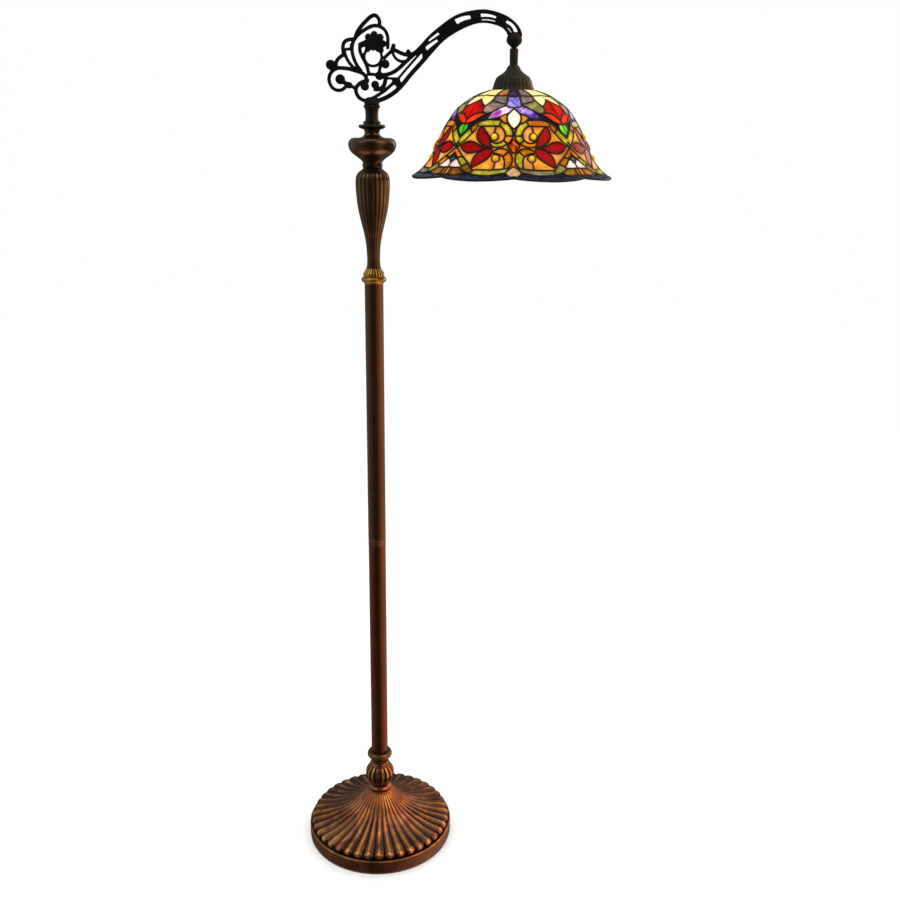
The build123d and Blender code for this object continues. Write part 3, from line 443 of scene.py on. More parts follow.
def art_glass(name, pale, deep, glow, wisps=1.25):
    """Opalescent glass lit from inside the shade."""
    values = {"Pale": pale, "Deep": deep, "Wisps": wisps}
    material, tree, shader, look = new_finish(name, streaky_glass, values)
    tree.links.new(read_mark(tree, "tone"), look.inputs["Tone"])
    # The mark called clear holds the painted shade beside the lead and on the cabochons' feet
    tree.links.new(read_mark(tree, "clear"), look.inputs["Unshaded"])
    tree.links.new(look.outputs["Body"], shader.inputs["Base Color"])
    tree.links.new(look.outputs["Color"], shader.inputs["Emission Color"])
    shader.inputs["Emission Strength"].default_value = LIT * glow
    shader.inputs["Roughness"].default_value = 0.2
    shader.inputs["Specular IOR Level"].default_value = 0.03
    add_bump(tree, shader, look.outputs["Height"], 0.0006, 0.35)
    return material


foot_flutes = patina("foot_flutes", "e0a050", "7c4624", "2a100a", 0.9, 0.34, 0.88, True, 0.2)
foot_rim = patina("foot_rim", "b07840", "4a2613", "1c0e08", 0.8, 0.42, 0.85, True, 0.3, 0.08)
ball_copper = patina("ball_copper", "c08844", "5e381e", "241208", 0.9, 0.24, 0.9, True, 0.12)
ring_copper = patina("ring_copper", "d8905c", "844a28", "3a1a0c", 0.7, 0.26, 0.9, False, 0.15)
cup_bronze = patina("cup_bronze", "8a5c34", "5a3a1e", "2a1a0c", 0.6, 0.3, 0.85, False, 0.15)
old_brass = patina("old_brass", "d0a040", "8a641c", "2c1a06", 0.8, 0.28, 0.95, False, 0.2)
petal_brass = patina("petal_brass", "f0c468", "a87c38", "2c1a0c", 0.9, 0.3, 0.9, True, 0.15)
reed_bronze = patina("reed_bronze", "64502f", "46301c", "26160b", 0.7, 0.27, 0.88, True, 0.1, 0.1)
knop_bronze = patina("knop_bronze", "4a3622", "3a2618", "2e1c10", 0.3, 0.26, 0.88, False, 0.06, 0.15)
dark_bronze = patina("dark_bronze", "2c241a", "16100c", "0a0604", 0.4, 0.34, 0.8, False, 0.15, 0.1)
arm_black = patina("arm_black", "1c1a18", "0a0a0d", "050506", 0.3, 0.5, 0.3, False, 0.25, 0.0, 0.12)
cap_black = patina("cap_black", "34322a", "22201a", "161510", 0.45, 0.46, 0.5, True, 0.2, 0.0, 0.15)
lead = patina("lead", "40342a", "18120e", "0a0807", 0.3, 0.5, 0.5, False, 0.35, 0.0, 0.15)
lower_lacquer = lacquered_tube("lower_lacquer", "54280f", "361a0a", 0.2)
upper_lacquer = lacquered_tube("upper_lacquer", "4e2e1a", "301c10", 0.2)
joint_lacquer = patina("joint_lacquer", "7a4a24", "4a2610", "1a0c06", 0.6, 0.34, 0.85, False)
plated_steel = patina("plated_steel", "c8c8c4", "9a9a98", "5a5a58", 0.4, 0.32, 0.95, False)
raw_iron = patina("raw_iron", "4a4846", "2a2a2a", "181818", 0.3, 0.6, 0.7, False)
sheet_brass = patina("sheet_brass", "e8c878", "c09a48", "7a5c20", 0.5, 0.26, 0.95, False)
black_felt = patina("black_felt", "1c1c1c", "101010", "080808", 0.4, 0.95, 0.0, False)
soft_rubber = patina("soft_rubber", "242424", "141414", "0a0a0a", 0.3, 0.7, 0.0, False)
moulded_black = patina("moulded_black", "303030", "161616", "0a0a0a", 0.3, 0.3, 0.0, False)
insulator = patina("insulator", "e8e2d4", "cfc6b4", "9a9080", 0.3, 0.5, 0.0, False)

# Pale and deep colour of each glass, its glow, and where it differs its wisps
glass_looks = {
    "dusk": ("4c3a58", "281c34", 0.8),
    "violet": ("b4a4e8", "6452b0", 0.9, 1.3),
    "mauve": ("a08478", "6e5a54", 0.85),
    "terracotta": ("d08a64", "9c5434", 0.9),
    "cream": ("fff2b4", "f2d878", 0.97),
    "dove": ("a88c74", "6c5c60", 0.85, 1.2),
    "moss": ("a89a5c", "6e6a34", 0.85),
    "rose": ("ffe8fa", "a02c98", 0.97, 1.2),
    "lilac": ("d8a4ee", "4c2c9c", 0.92, 1.2),
    "plum": ("342a48", "181226", 0.5),
    "night": ("302632", "140e16", 0.45),
    "milk": ("f2e8cc", "eeddb4", 0.97),
    "apricot": ("f2a43c", "cc7a1c", 0.97),
    "ruby": ("ca0a05", "800202", 0.97),
    "flame": ("ff4410", "d81c04", 1.0),
    "orange": ("f08828", "d85c10", 0.97),
    "leaf": ("7ce63c", "2c9c10", 0.97),
    "amber": ("e48a1c", "aa5a06", 0.95),
    "gold": ("dcc438", "9c8a12", 0.95),
    "olive": ("ccb23c", "8c8a20", 0.9),
    "peach": ("eca652", "c27c32", 0.95),
    "crimson": ("9e0207", "7c0205", 0.97),
    "tan": ("d0a878", "a07c4c", 0.9),
    "blush": ("fdeee6", "e4c0b4", 0.95),
    "teal": ("6aa494", "34685c", 0.85),
    "sage": ("8e8060", "60603c", 0.8),
    "umber": ("a87220", "684010", 0.85),
    "navy": ("303c58", "141a2a", 0.62),
}
glasses = {name: art_glass(name, *look) for name, look in glass_looks.items()}
glass_order = list(glasses)


# Leaded shade


wall_shares = [(0, 0), (0.195, 0.06), (0.345, 0.14), (0.47, 0.225), (0.565, 0.335),
               (0.655, 0.465), (0.737, 0.615), (0.81, 0.762), (0.895, 0.895), (1, 1)]
bell_line = flow([(CROWN_RADIUS + out * (BELL_RADIUS - CROWN_RADIUS), WALL_TOP_Z - down * BELL_HEIGHT)
                  for out, down in wall_shares], 0.5)
rim_end = np.array([RIM_RADIUS, bell_line[-1][1] - RIM_DROP])
chord = np.linalg.norm(rim_end - bell_line[-1])
rim_leave = unit(bell_line[-1] - bell_line[-4]) * chord
rim_arrive = unit(np.array([1, -RIM_SLOPE])) * chord
rim_line = np.array([bend(t, bell_line[-1], rim_leave, rim_end, rim_arrive) for t in np.linspace(0, 1, 25)])
SKIRT_RADIUS = 156.0  # where the pattern ends and the plain rim begins
skirt_radii = np.linspace(BELL_RADIUS, SKIRT_RADIUS, 9)[1:]
skirt_line = np.stack([skirt_radii, np.interp(skirt_radii, rim_line[:, 0], rim_line[:, 1])], 1)
wall_line = np.concatenate([bell_line, skirt_line])
wall_lengths = np.concatenate([[0], np.cumsum(np.linalg.norm(np.diff(wall_line, axis=0), axis=1))])
WALL_LENGTH = wall_lengths[-1]
SKIRT_LENGTH = WALL_LENGTH - wall_lengths[len(bell_line) - 1]


def round_shade(angles, radii, heights):
    """Points about the shade's axis, at degrees round from the arm."""
    turns = np.radians(angles)
    return np.stack([SHADE_X + radii * np.cos(turns), radii * np.sin(turns), heights], -1)


def down_wall(lengths):
    """Radii and heights at lengths down the middle of the bell's wall."""
    return [np.interp(lengths, wall_lengths, wall_line[:, k]) for k in (0, 1)]


def on_wall(angles, lengths, lift):
    """Points of the bell: degrees round from the arm, lengths down the wall, and lift out of its middle."""
    lengths = np.asarray(lengths, float)
    above = np.clip(lengths - 1, 0, WALL_LENGTH - 2)
    radii_above, heights_above = down_wall(above)
    radii_below, heights_below = down_wall(above + 2)
    run, fall = radii_below - radii_above, heights_above - heights_below
    radii, heights = down_wall(lengths)
    slant = np.hypot(run, fall)
    return round_shade(angles, radii + lift * fall / slant, heights + lift * run / slant)


# The pattern is drawn for the right half of one panel on squared paper: x from the panel's middle
# to its seam, y down the wall. The left half is its mirror image.
HALF_PANEL = 482.0
PANEL_FOOT, SKIRT_TOP = 1190.0, 1040.0  # the rows between them spread over the skirt
SQUARE_DOWN = 0.1475  # millimetres of wall
PAPER_TOP = 1.0  # length of wall above the drawing
pattern_lines = {
    "strip_side": [(92, -14), (92, 110), (87, 205), (82, 300), (94, 394)],
    "strip_foot": [(0, 216), (50, 214), (94, 208)],
    "crown_row": [(80, 193), (180, 196), (267, 197), (367, 188), (490, 177)],
    "petal_side": [(228, -14), (262, 50), (274, 120), (275, 195), (279, 280), (295, 332), (332, 392)],
    "dove_foot": [(80, 362), (150, 340), (220, 312), (286, 290)],
    "tulip_brow": [(486, 252), (430, 305), (380, 350), (326, 392)],
    "tulip_cheek": [(328, 384), (336, 430), (325, 465), (284, 489)],
    "wing_brow": [(0, 414), (45, 406), (94, 388), (137, 408), (197, 452), (245, 482), (292, 491)],
    "wing_foot": [(46, 480), (85, 500), (120, 522), (167, 545), (227, 560), (305, 582), (340, 606)],
    "wing_root": [(0, 406), (0, 432)],
    "wing_end": [(205, 450), (252, 572)],
    "drop": [(0, 424), (28, 455), (55, 490), (66, 525), (62, 570), (45, 615), (20, 652), (0, 672)],
    "sepal_brow": [(268, 491), (330, 478), (385, 483), (430, 508), (462, 546), (486, 582)],
    "sepal_foot": [(268, 489), (335, 535), (390, 582), (440, 606), (486, 615)],
    "calyx": [(446, 602), (427, 645), (436, 690), (462, 728), (486, 752)],
    "border_outside": [(322, 570), (370, 626), (420, 692), (462, 745), (486, 778)],
    "border_inside": [(318, 650), (362, 718), (405, 783), (446, 836), (486, 885)],
    "bar_brow": [(108, 582), (120, 573), (160, 567), (240, 564), (262, 572)],
    "bar_foot": [(126, 641), (200, 641), (300, 643), (338, 641)],
    "bar_end": [(110, 568), (133, 650)],
    "bar_far_end": [(331, 566), (331, 676)],
    "border_cut": [(400, 650), (360, 732)],
    "rest_mid_cut": [(380, 985), (458, 1000)],
    "ember_foot": [(146, 532), (128, 556), (106, 586)],
    "scroll_outside": [(114, 574), (90, 598), (55, 616), (26, 655), (10, 700), (8, 755), (20, 800), (48, 840),
                       (90, 868), (135, 880), (167, 866), (187, 836)],
    "scroll_inside": [(134, 630), (98, 664), (76, 705), (70, 750), (80, 795), (108, 825),
                      (145, 830), (172, 814), (197, 790)],
    "scroll_cut_high": [(2, 752), (76, 748)],
    "scroll_cut_low": [(40, 846), (88, 792)],
    "stalk_high": [(152, 632), (160, 690), (162, 740)],
    "stalk_side": [(180, 772), (202, 781)],
    "petal_high_outside": [(296, 634), (313, 700), (309, 765), (280, 815), (235, 855), (176, 881)],
    "petal_high_inside": [(290, 634), (244, 692), (205, 752), (190, 800), (182, 845), (176, 881)],
    "petal_mid_brow": [(204, 883), (270, 856), (310, 828), (355, 815), (400, 822), (444, 862)],
    "petal_mid_foot": [(204, 883), (265, 918), (310, 940), (360, 942), (405, 915), (444, 862)],
    "petal_tip": [(444, 862), (488, 857)],
    "petal_roots": [(165, 884), (176, 881), (204, 883)],
    "petal_low_outside": [(165, 884), (222, 893), (270, 935), (296, 995), (301, 1050), (287, 1114)],
    "petal_low_inside": [(165, 884), (160, 930), (170, 970), (198, 1020), (240, 1065), (290, 1110)],
    "rest_low_inside": [(488, 846), (460, 900), (410, 962), (355, 1028), (328, 1056),
                        (306, 1088), (282, 1118), (262, 1132)],
    "rest_low_outside": [(486, 928), (462, 970), (430, 1015), (392, 1068), (362, 1094)],
    "rest_cut": [(318, 1044), (382, 1098)],
    "crossing": [(486, 806), (462, 858), (486, 910)],
    "bud": [(486, 956), (456, 1012), (486, 1066)],
    "blush_brow": [(462, 1006), (418, 1022)],
    "blush_foot": [(366, 1099), (430, 1104), (488, 1098)],
    "ring_foot": [(362, 1078), (376, 1110), (335, 1140), (276, 1170), (235, 1180), (180, 1186),
                  (130, 1178), (85, 1160), (36, 1148)],
    "ring_brow": [(280, 1126), (220, 1122), (160, 1122), (100, 1116), (60, 1110), (12, 1106)],
    "ring_cut": [(260, 1110), (282, 1184)],
    "umber_foot": [(316, 1142), (350, 1174), (398, 1187), (442, 1176), (470, 1186), (488, 1188)],
    "umber_cut": [(452, 1096), (446, 1150), (464, 1190)],
    "keystone": [(0, 1084), (36, 1120), (50, 1152), (38, 1180), (24, 1200)],
    "low_scroll_outside": [(168, 934), (140, 907), (106, 891), (70, 893), (40, 915), (20, 950), (10, 1000),
                           (13, 1050), (26, 1084), (44, 1106), (54, 1120)],
    "low_scroll_inside": [(168, 938), (128, 946), (98, 962), (76, 985),
                          (66, 1020), (63, 1060), (64, 1122)],
    "low_scroll_cut": [(32, 914), (84, 988)],
    "low_stalk_high": [(136, 976), (150, 930)],
    "low_stalk_foot": [(130, 1036), (136, 1130)],
    "diamond": [(0, 790), (46, 868), (0, 946)],
}
unleaded_lines = {"wing_end"}
straight_lines = {"wing_end", "diamond", "crossing", "bud", "bar_end", "scroll_cut_high", "scroll_cut_low"}
cabochons = [(156, 762), (129, 1006)]
CABOCHON = 5.3  # radius, millimetres
BEZEL, BEZEL_SIDES = 1.12 * CABOCHON, 24
# Glass of each piece: a spot inside it, then its glass on the right and on the left
pattern_glass = [
    (0, 100, "dusk", "dusk"), (0, 300, "violet", "violet"), (180, 100, "mauve", "terracotta"),
    (380, 100, "cream", "cream"), (180, 260, "mauve", "dove"), (230, 400, "moss", "dove"),
    (370, 260, "cream", "cream"), (130, 465, "lilac", "rose"), (290, 548, "plum", "plum"),
    (0, 550, "milk", "milk"), (85, 545, "apricot", "apricot"), (430, 430, "ruby", "ruby"),
    (390, 530, "flame", "flame"), (460, 670, "leaf", "leaf"), (200, 605, "amber", "olive"),
    (355, 655, "amber", "amber"), (430, 750, "gold", "gold"), (60, 640, "gold", "gold"),
    (40, 790, "gold", "orange"), (140, 858, "amber", "olive"),
    (230, 680, "apricot", "peach"), (112, 720, "peach", "peach"), (290, 740, "crimson", "crimson"),
    (340, 880, "crimson", "crimson"), (240, 980, "crimson", "crimson"), (370, 770, "apricot", "apricot"),
    (350, 985, "peach", "peach"), (476, 858, "tan", "umber"), (455, 930, "amber", "orange"),
    (385, 1034, "amber", "olive"), (430, 1070, "blush", "blush"), (476, 1012, "teal", "teal"),
    (457, 988, "umber", "umber"), (160, 1150, "sage", "olive"), (318, 1114, "moss", "umber"),
    (400, 1145, "umber", "umber"), (470, 1160, "umber", "amber"),
    (0, 1155, "tan", "tan"), (100, 920, "amber", "orange"), (36, 1020, "gold", "amber"),
    (82, 1010, "peach", "peach"), (190, 1080, "apricot", "apricot"), (156, 762, "amber", "amber"),
    (129, 1006, "amber", "amber"), (0, 868, "flame", "flame"), (310, 1180, "navy", "navy"),
]
seam_leads = [(582, 615), (1060, 1190)]


def paper(x, y):
    """A spot of the drawing as degrees from the panel's middle and length down the wall."""
    spread = SKIRT_LENGTH * max(0.0, y - SKIRT_TOP) / (PANEL_FOOT - SKIRT_TOP)
    return 45 * x / HALF_PANEL, y * SQUARE_DOWN + PAPER_TOP + spread


def cross(first, second):
    """Signed area spanned by flat vectors."""
    return first[..., 0] * second[..., 1] - first[..., 1] * second[..., 0]


ACROSS = 2.0  # flat millimetres for each degree, near enough for parting the pieces
SEAM = 45 * ACROSS
LINE_STEP = 2.2
FILL_STEP, FILL_GAP = 4.0, 1.5
TOUCHING = 1e-6
JOINED = 1e-4  # spots nearer than this become one


def draw_panel():
    """Lines of one flat panel: its spots, the edges between them, and whether each edge is leaded."""
    spots, edges, is_lead = [], [], []

    def add_line(points, leaded=True):
        first = len(spots)
        spots.extend(points)
        for index in range(first, len(spots) - 1):
            edges.append((index, index + 1))
            is_lead.append(leaded)

    for side in (1, -1):
        for name, points in pattern_lines.items():
            flat = np.array([paper(*p) for p in points])
            flat[:, 0] *= ACROSS
            if name in straight_lines:
                legs = [np.linspace(a, b, 6)[:-1] for a, b in zip(flat, flat[1:])]
                smooth = np.concatenate([*legs, flat[-1:]])
            else:
                smooth = flow(flat, LINE_STEP)
            add_line([(side * x, y) for x, y in smooth], name not in unleaded_lines)
        for x, y in cabochons:
            middle, length = paper(x, y)
            per_degree = down_wall(length)[0] * math.pi / 180
            ring = []
            for step in range(BEZEL_SIDES + 1):
                angle = 2 * math.pi * step / BEZEL_SIDES
                ring.append((side * (middle + BEZEL * math.cos(angle) / per_degree) * ACROSS,
                             length + BEZEL * math.sin(angle)))
            add_line(ring)
    for x in (-SEAM, SEAM):
        add_line([(x, y) for y in np.linspace(0, WALL_LENGTH, 70)], False)
    for y in (0, WALL_LENGTH):
        add_line([(x, y) for x in np.linspace(-SEAM, SEAM, 60)], False)
    return spots, edges, is_lead


def fill_in(spots):
    """Further spots between the lines, so that the glass bends evenly."""
    lines = np.array(spots)
    filling = []
    for x in np.arange(-SEAM + FILL_STEP / 2, SEAM, FILL_STEP):
        for y in np.arange(FILL_STEP / 2, WALL_LENGTH, FILL_STEP):
            if np.min(np.hypot(lines[:, 0] - x, lines[:, 1] - y)) > FILL_GAP:
                filling.append((x, y))
    return filling


def trim_loose_ends(walls):
    """Cut off the ends of lines that overshoot a crossing."""
    while True:
        count = {}
        for pair in walls:
            for corner in pair:
                count[corner] = count.get(corner, 0) + 1
        loose = [pair for pair in walls if min(count[c] for c in pair) == 1]
        if not loose:
            return
        for pair in loose:
            del walls[pair]


def grow_pieces(triangles, walls):
    """Sort triangles into pieces parted by the walls: each piece's members, and each triangle's piece."""
    owners = {}
    for index, triangle in enumerate(triangles):
        for k in range(3):
            owners.setdefault(frozenset((triangle[k], triangle[k - 1])), []).append(index)
    piece_of = [-1] * len(triangles)
    pieces = []
    for start in range(len(triangles)):
        if piece_of[start] >= 0:
            continue
        piece_of[start] = len(pieces)
        members, todo = [], [start]
        while todo:
            here = todo.pop()
            members.append(here)
            triangle = triangles[here]
            for k in range(3):
                pair = frozenset((triangle[k], triangle[k - 1]))
                if pair in walls:
                    continue
                for other in owners[pair]:
                    if piece_of[other] < 0:
                        piece_of[other] = len(pieces)
                        todo.append(other)
        pieces.append(members)
    return pieces, piece_of


def name_glass(corners, triangles, pieces, piece_of):
    """Glass of each piece, from the spot of the pattern that lies in it."""
    glass_of = ["night"] * len(pieces)
    a, b, c = (corners[[t[k] for t in triangles]] for k in range(3))
    whole = cross(b - a, c - a)
    for x, y, right, left in pattern_glass:
        degrees, length = paper(x, y)
        for side, kind in ((1, right), (-1, left)):
            spot = np.array([side * degrees * ACROSS, length])
            first = cross(b - spot, c - spot) / whole
            second = cross(c - spot, a - spot) / whole
            inside = np.minimum(np.minimum(first, second), 1 - first - second)
            glass_of[piece_of[int(np.argmax(inside))]] = kind
    return glass_of


def is_leaded_edge(a, b):
    """Whether a stretch between two corners is a leaded part of the panel's own edge."""
    middle = (a[1] + b[1]) / 2
    at_seam = all(abs(abs(corner[0]) - SEAM) < TOUCHING for corner in (a, b))
    in_lead = any(paper(0, low)[1] < middle < paper(0, high)[1] for low, high in seam_leads)
    return (at_seam and in_lead) or min(a[1], b[1]) > WALL_LENGTH - TOUCHING


def cut_pieces():
    """Part one flat panel along the pattern's lines.

    Gives its corners as (degrees, length), each piece as triangles with its glass, and the runs of lead."""
    spots, edges, is_lead = draw_panel()
    spots += fill_in(spots)
    corners, sides, triangles, _, side_sources, _ = delaunay_2d_cdt(
        [Vector(s) for s in spots], edges, [], 0, JOINED)
    corners = np.array(corners)
    centres = [np.mean(corners[list(t)], axis=0) for t in triangles]
    triangles = [t for t, (x, y) in zip(triangles, centres) if abs(x) < SEAM and 0 < y < WALL_LENGTH]
    walls = {}
    for pair, sources in zip(sides, side_sources):
        if sources:
            walls[frozenset(pair)] = any(is_lead[s] for s in sources)
    trim_loose_ends(walls)
    pieces, piece_of = grow_pieces(triangles, walls)
    glass_of = name_glass(corners, triangles, pieces, piece_of)
    leads = [pair for pair, leaded in walls.items() if leaded]
    leads += [pair for pair, leaded in walls.items() if not leaded and is_leaded_edge(*corners[list(pair)])]
    flat = corners / (ACROSS, 1)
    return flat, [([triangles[m] for m in members], kind) for members, kind in zip(pieces, glass_of)], leads


def lead_runs(pairs):
    """Join pairs of corners into runs between crossings."""
    near = {}
    for a, b in map(tuple, pairs):
        near.setdefault(a, set()).add(b)
        near.setdefault(b, set()).add(a)
    runs, used = [], set()
    starts = [c for c in near if len(near[c]) != 2] + [c for c in near if len(near[c]) == 2]
    for start in starts:
        for step in sorted(near[start]):
            if frozenset((start, step)) in used:
                continue
            run = [start, step]
            used.add(frozenset((start, step)))
            while len(near[run[-1]]) == 2:
                onward = [n for n in near[run[-1]] if frozenset((run[-1], n)) not in used]
                if not onward:
                    break
                used.add(frozenset((run[-1], onward[0])))
                run.append(onward[0])
            runs.append(run)
    return runs


def bead(points, outs, broad, high, sides=8):
    """Corners and faces of an oval bead along points: its half width, and its height towards outs."""
    points = np.asarray(points, float)
    along = unit(np.gradient(points, axis=0))
    across = unit(np.cross(along, outs))
    up = np.cross(across, along)
    angles = 2 * np.pi * np.arange(sides) / sides
    rings = (points[:, None] + broad * np.cos(angles)[:, None] * across[:, None]
             + high * np.sin(angles)[:, None] * up[:, None])
    last = (len(points) - 1) * sides
    ends = [tuple(range(sides)), tuple(reversed(range(last, last + sides)))]
    return rings.reshape(-1, 3), ring_faces(len(points), sides, flipped=True) + ends


class Gather:
    """Corners, faces and marks of many small shapes, made into one mesh."""

    def __init__(self):
        self.corners, self.faces, self.skins, self.tones, self.unshaded_shares = [], [], [], [], []

    def add(self, corners, faces, skin=0, tone=0.5, clear=1.0):
        first = len(self.corners)
        self.corners.extend(corners)
        self.faces.extend(tuple(first + c for c in face) for face in faces)
        self.skins.extend([skin] * len(faces))
        self.tones.extend(np.broadcast_to(tone, len(corners)))
        self.unshaded_shares.extend(np.broadcast_to(clear, len(corners)))

    def build(self, name, materials, smooth=True, crease=35):
        piece = make_mesh(name, self.corners, self.faces, materials, self.skins, smooth, crease)
        paint(piece, "tone", self.tones)
        # The mark called clear: 1 where unshaded, lower where painted shade darkens the glass
        paint(piece, "clear", self.unshaded_shares)
        return piece


FLATNESS = 0.55  # how far each bent piece of glass goes towards its own flat
FLAT_LIMIT = 1.2
LEAD_BROAD, LEAD_HIGH = 1.5, 1.0
SOFT_EDGE = 5.0  # how far in from its lead a piece of glass carries painted shade
SLIVER, SLIVER_UNSHADED = 0.5, 0.7  # a piece with no corner further in than this gets the same painted shade all over
WING_ROOT, WING_SPAN = 8.0, 13.0  # degrees from the panel's middle over which the wings deepen
FACES_OF_GLASS = (GLASS / 2, -GLASS / 2)
PANELS = {side: 270 + PANEL_TURN + 90 * number
          for number, side in enumerate(["front", "right", "back", "left"])}
rng = random.Random(41)
flat_corners, flat_pieces, flat_leads = cut_pieces()
runs = lead_runs(flat_leads)
lead_net = Gather()


def bent_piece(triangles, facing):
    """Corners and faces of one piece of glass on the bell, its corners' degrees from the panel's middle,
    and how far each corner is from the painted shade beside the lead."""
    used = sorted({c for t in triangles for c in t})
    count = len(used)
    local = {c: i for i, c in enumerate(used)}
    degrees, lengths = flat_corners[used, 0], flat_corners[used, 1]
    layers = [on_wall(facing + degrees, lengths, lift) for lift in FACES_OF_GLASS]
    spread = layers[0] - np.mean(layers[0], axis=0)
    normal = np.linalg.svd(spread)[2][2] if count > 3 else np.zeros(3)
    corners = []
    for layer in layers:
        off = np.clip((layer - np.mean(layer, axis=0)) @ normal, -FLAT_LIMIT, FLAT_LIMIT)
        corners.extend(layer - FLATNESS * off[:, None] * normal)
    outside = [tuple(local[c] for c in t) for t in triangles]
    inside = [tuple(count + c for c in reversed(t)) for t in outside]
    ways = dict.fromkeys((t[k - 1], t[k]) for t in outside for k in range(3))
    borders = [(a, b) for a, b in ways if (b, a) not in ways]
    walls = [(b, a, count + a, count + b) for a, b in borders]
    edge = layers[0][[a for a, _ in borders]]
    inward = np.min(np.linalg.norm(layers[0][:, None] - edge, axis=2), axis=1)
    depth = np.max(inward)
    # Painted shade: each corner darkens towards its lead, over SOFT_EDGE millimetres
    clear = np.clip(inward / min(SOFT_EDGE, depth), 0, 1) if depth > SLIVER else SLIVER_UNSHADED
    return corners, outside + inside + walls, degrees, np.resize(clear, 2 * count)


for side, facing in PANELS.items():
    panel = Gather()
    for triangles, kind in flat_pieces:
        corners, faces, degrees, clear = bent_piece(triangles, facing)
        tone = rng.random()
        if kind in ("rose", "lilac"):
            tone = np.resize(np.clip((abs(degrees) - WING_ROOT) / WING_SPAN, 0, 1), len(corners))
        panel.add(corners, faces, glass_order.index(kind), tone, clear)
    dress(panel.build(f"leaded_panel_{side}", list(glasses.values())), "shade", "panel_glass",
          f"glass_panel_{side}")
    for run in runs:
        angles, lengths = facing + flat_corners[run, 0], flat_corners[run, 1]
        for lift in FACES_OF_GLASS:
            points = on_wall(angles, lengths, lift)
            outs = on_wall(angles, lengths, 3 * lift) - points
            lead_net.add(*bead(points, outs, LEAD_BROAD, LEAD_HIGH))


# Scalloped rim


notch_across = NOTCH_RADIUS * math.cos(math.pi / SCALLOPS)
arc_middle = (RIM_RADIUS**2 - NOTCH_RADIUS**2) / (2 * (RIM_RADIUS - notch_across))
arc_radius = RIM_RADIUS - arc_middle


def rim_edge(turn):
    """Radius of the scalloped edge, at degrees from a lobe's middle."""
    angle = np.radians(turn)
    return arc_middle * np.cos(angle) + np.sqrt(arc_radius**2 - (arc_middle * np.sin(angle)) ** 2)


def on_rim(angles, radii, lift):
    """Points of the rim, lifted out of its middle."""
    radii = np.asarray(radii, float)
    fall = (np.interp(radii - 0.5, rim_line[:, 0], rim_line[:, 1])
            - np.interp(radii + 0.5, rim_line[:, 0], rim_line[:, 1]))
    slant = np.hypot(1, fall)
    heights = np.interp(radii, rim_line[:, 0], rim_line[:, 1]) + lift / slant
    return round_shade(angles, radii + lift * fall / slant, heights)


ACROSS_LOBE, DOWN_RIM = 28, 6
RIM_BEAD, RIM_BEAD_INSET = 1.7, 0.9
rim = Gather()
for lobe in range(SCALLOPS):
    middle = 270 + PANEL_TURN + (lobe + 0.5) * 360 / SCALLOPS
    turns = np.linspace(-180 / SCALLOPS, 180 / SCALLOPS, ACROSS_LOBE + 1)
    columns = ACROSS_LOBE + 1
    corners = []
    for lift in FACES_OF_GLASS:
        for row in range(DOWN_RIM + 1):
            radii = SKIRT_RADIUS + (rim_edge(turns) - SKIRT_RADIUS) * row / DOWN_RIM
            corners.extend(on_rim(middle + turns, radii, lift))
    faces = []
    layer = (DOWN_RIM + 1) * columns
    for row in range(DOWN_RIM):
        for step in range(ACROSS_LOBE):
            a = row * columns + step
            b = a + columns
            faces.append((a, b, b + 1, a + 1))
            faces.append((layer + a, layer + a + 1, layer + b + 1, layer + b))
    ring = list(range(columns))
    ring += [row * columns + ACROSS_LOBE for row in range(1, DOWN_RIM + 1)]
    ring += [DOWN_RIM * columns + step for step in reversed(range(ACROSS_LOBE))]
    ring += [row * columns for row in reversed(range(1, DOWN_RIM))]
    for a, b in zip(ring, ring[1:] + ring[:1]):
        faces.append((a, b, layer + b, layer + a))
    rim.add(corners, faces, 0, rng.random())
    edge = on_rim(middle + turns, rim_edge(turns) - RIM_BEAD_INSET, 0)
    lead_net.add(*bead(edge, UPWARD, RIM_BEAD, RIM_BEAD))
    for lift in FACES_OF_GLASS:
        seam = on_rim(middle + turns[0], np.linspace(SKIRT_RADIUS, NOTCH_RADIUS - 1, 6), lift)
        lead_net.add(*bead(seam, UPWARD, LEAD_BROAD, LEAD_HIGH))
dress(rim.build("scalloped_rim", [glasses["navy"]]), "shade", "rim_glass", "rim_glass")
dress(lead_net.build("lead_net", [lead]), "shade", "lead_came",
      "crown_glass", "crown_hoop", "seam_cames", "skirt_hoop", "rim_cames")


# Jewels


JEWEL_DOWN = 868  # its middle on the drawing
JEWEL_TURN, JEWEL_LENGTH = 4.0, 10.6  # half its width in degrees and half its length
JEWEL_EDGE, JEWEL_CROWN, JEWEL_ROUGH = 1.2, 2.6, 0.55
DOME_RISE = 0.9 * CABOCHON
LOW_DOMES = 900  # domes below this row of the drawing are deeper in colour
jewel_glass = art_glass("jewel_glass", "e0580c", "561206", 0.95, 1.5)
cabochon_glass = art_glass("cabochon_glass", "ffc832", "bc5004", 1.12, 0.4)


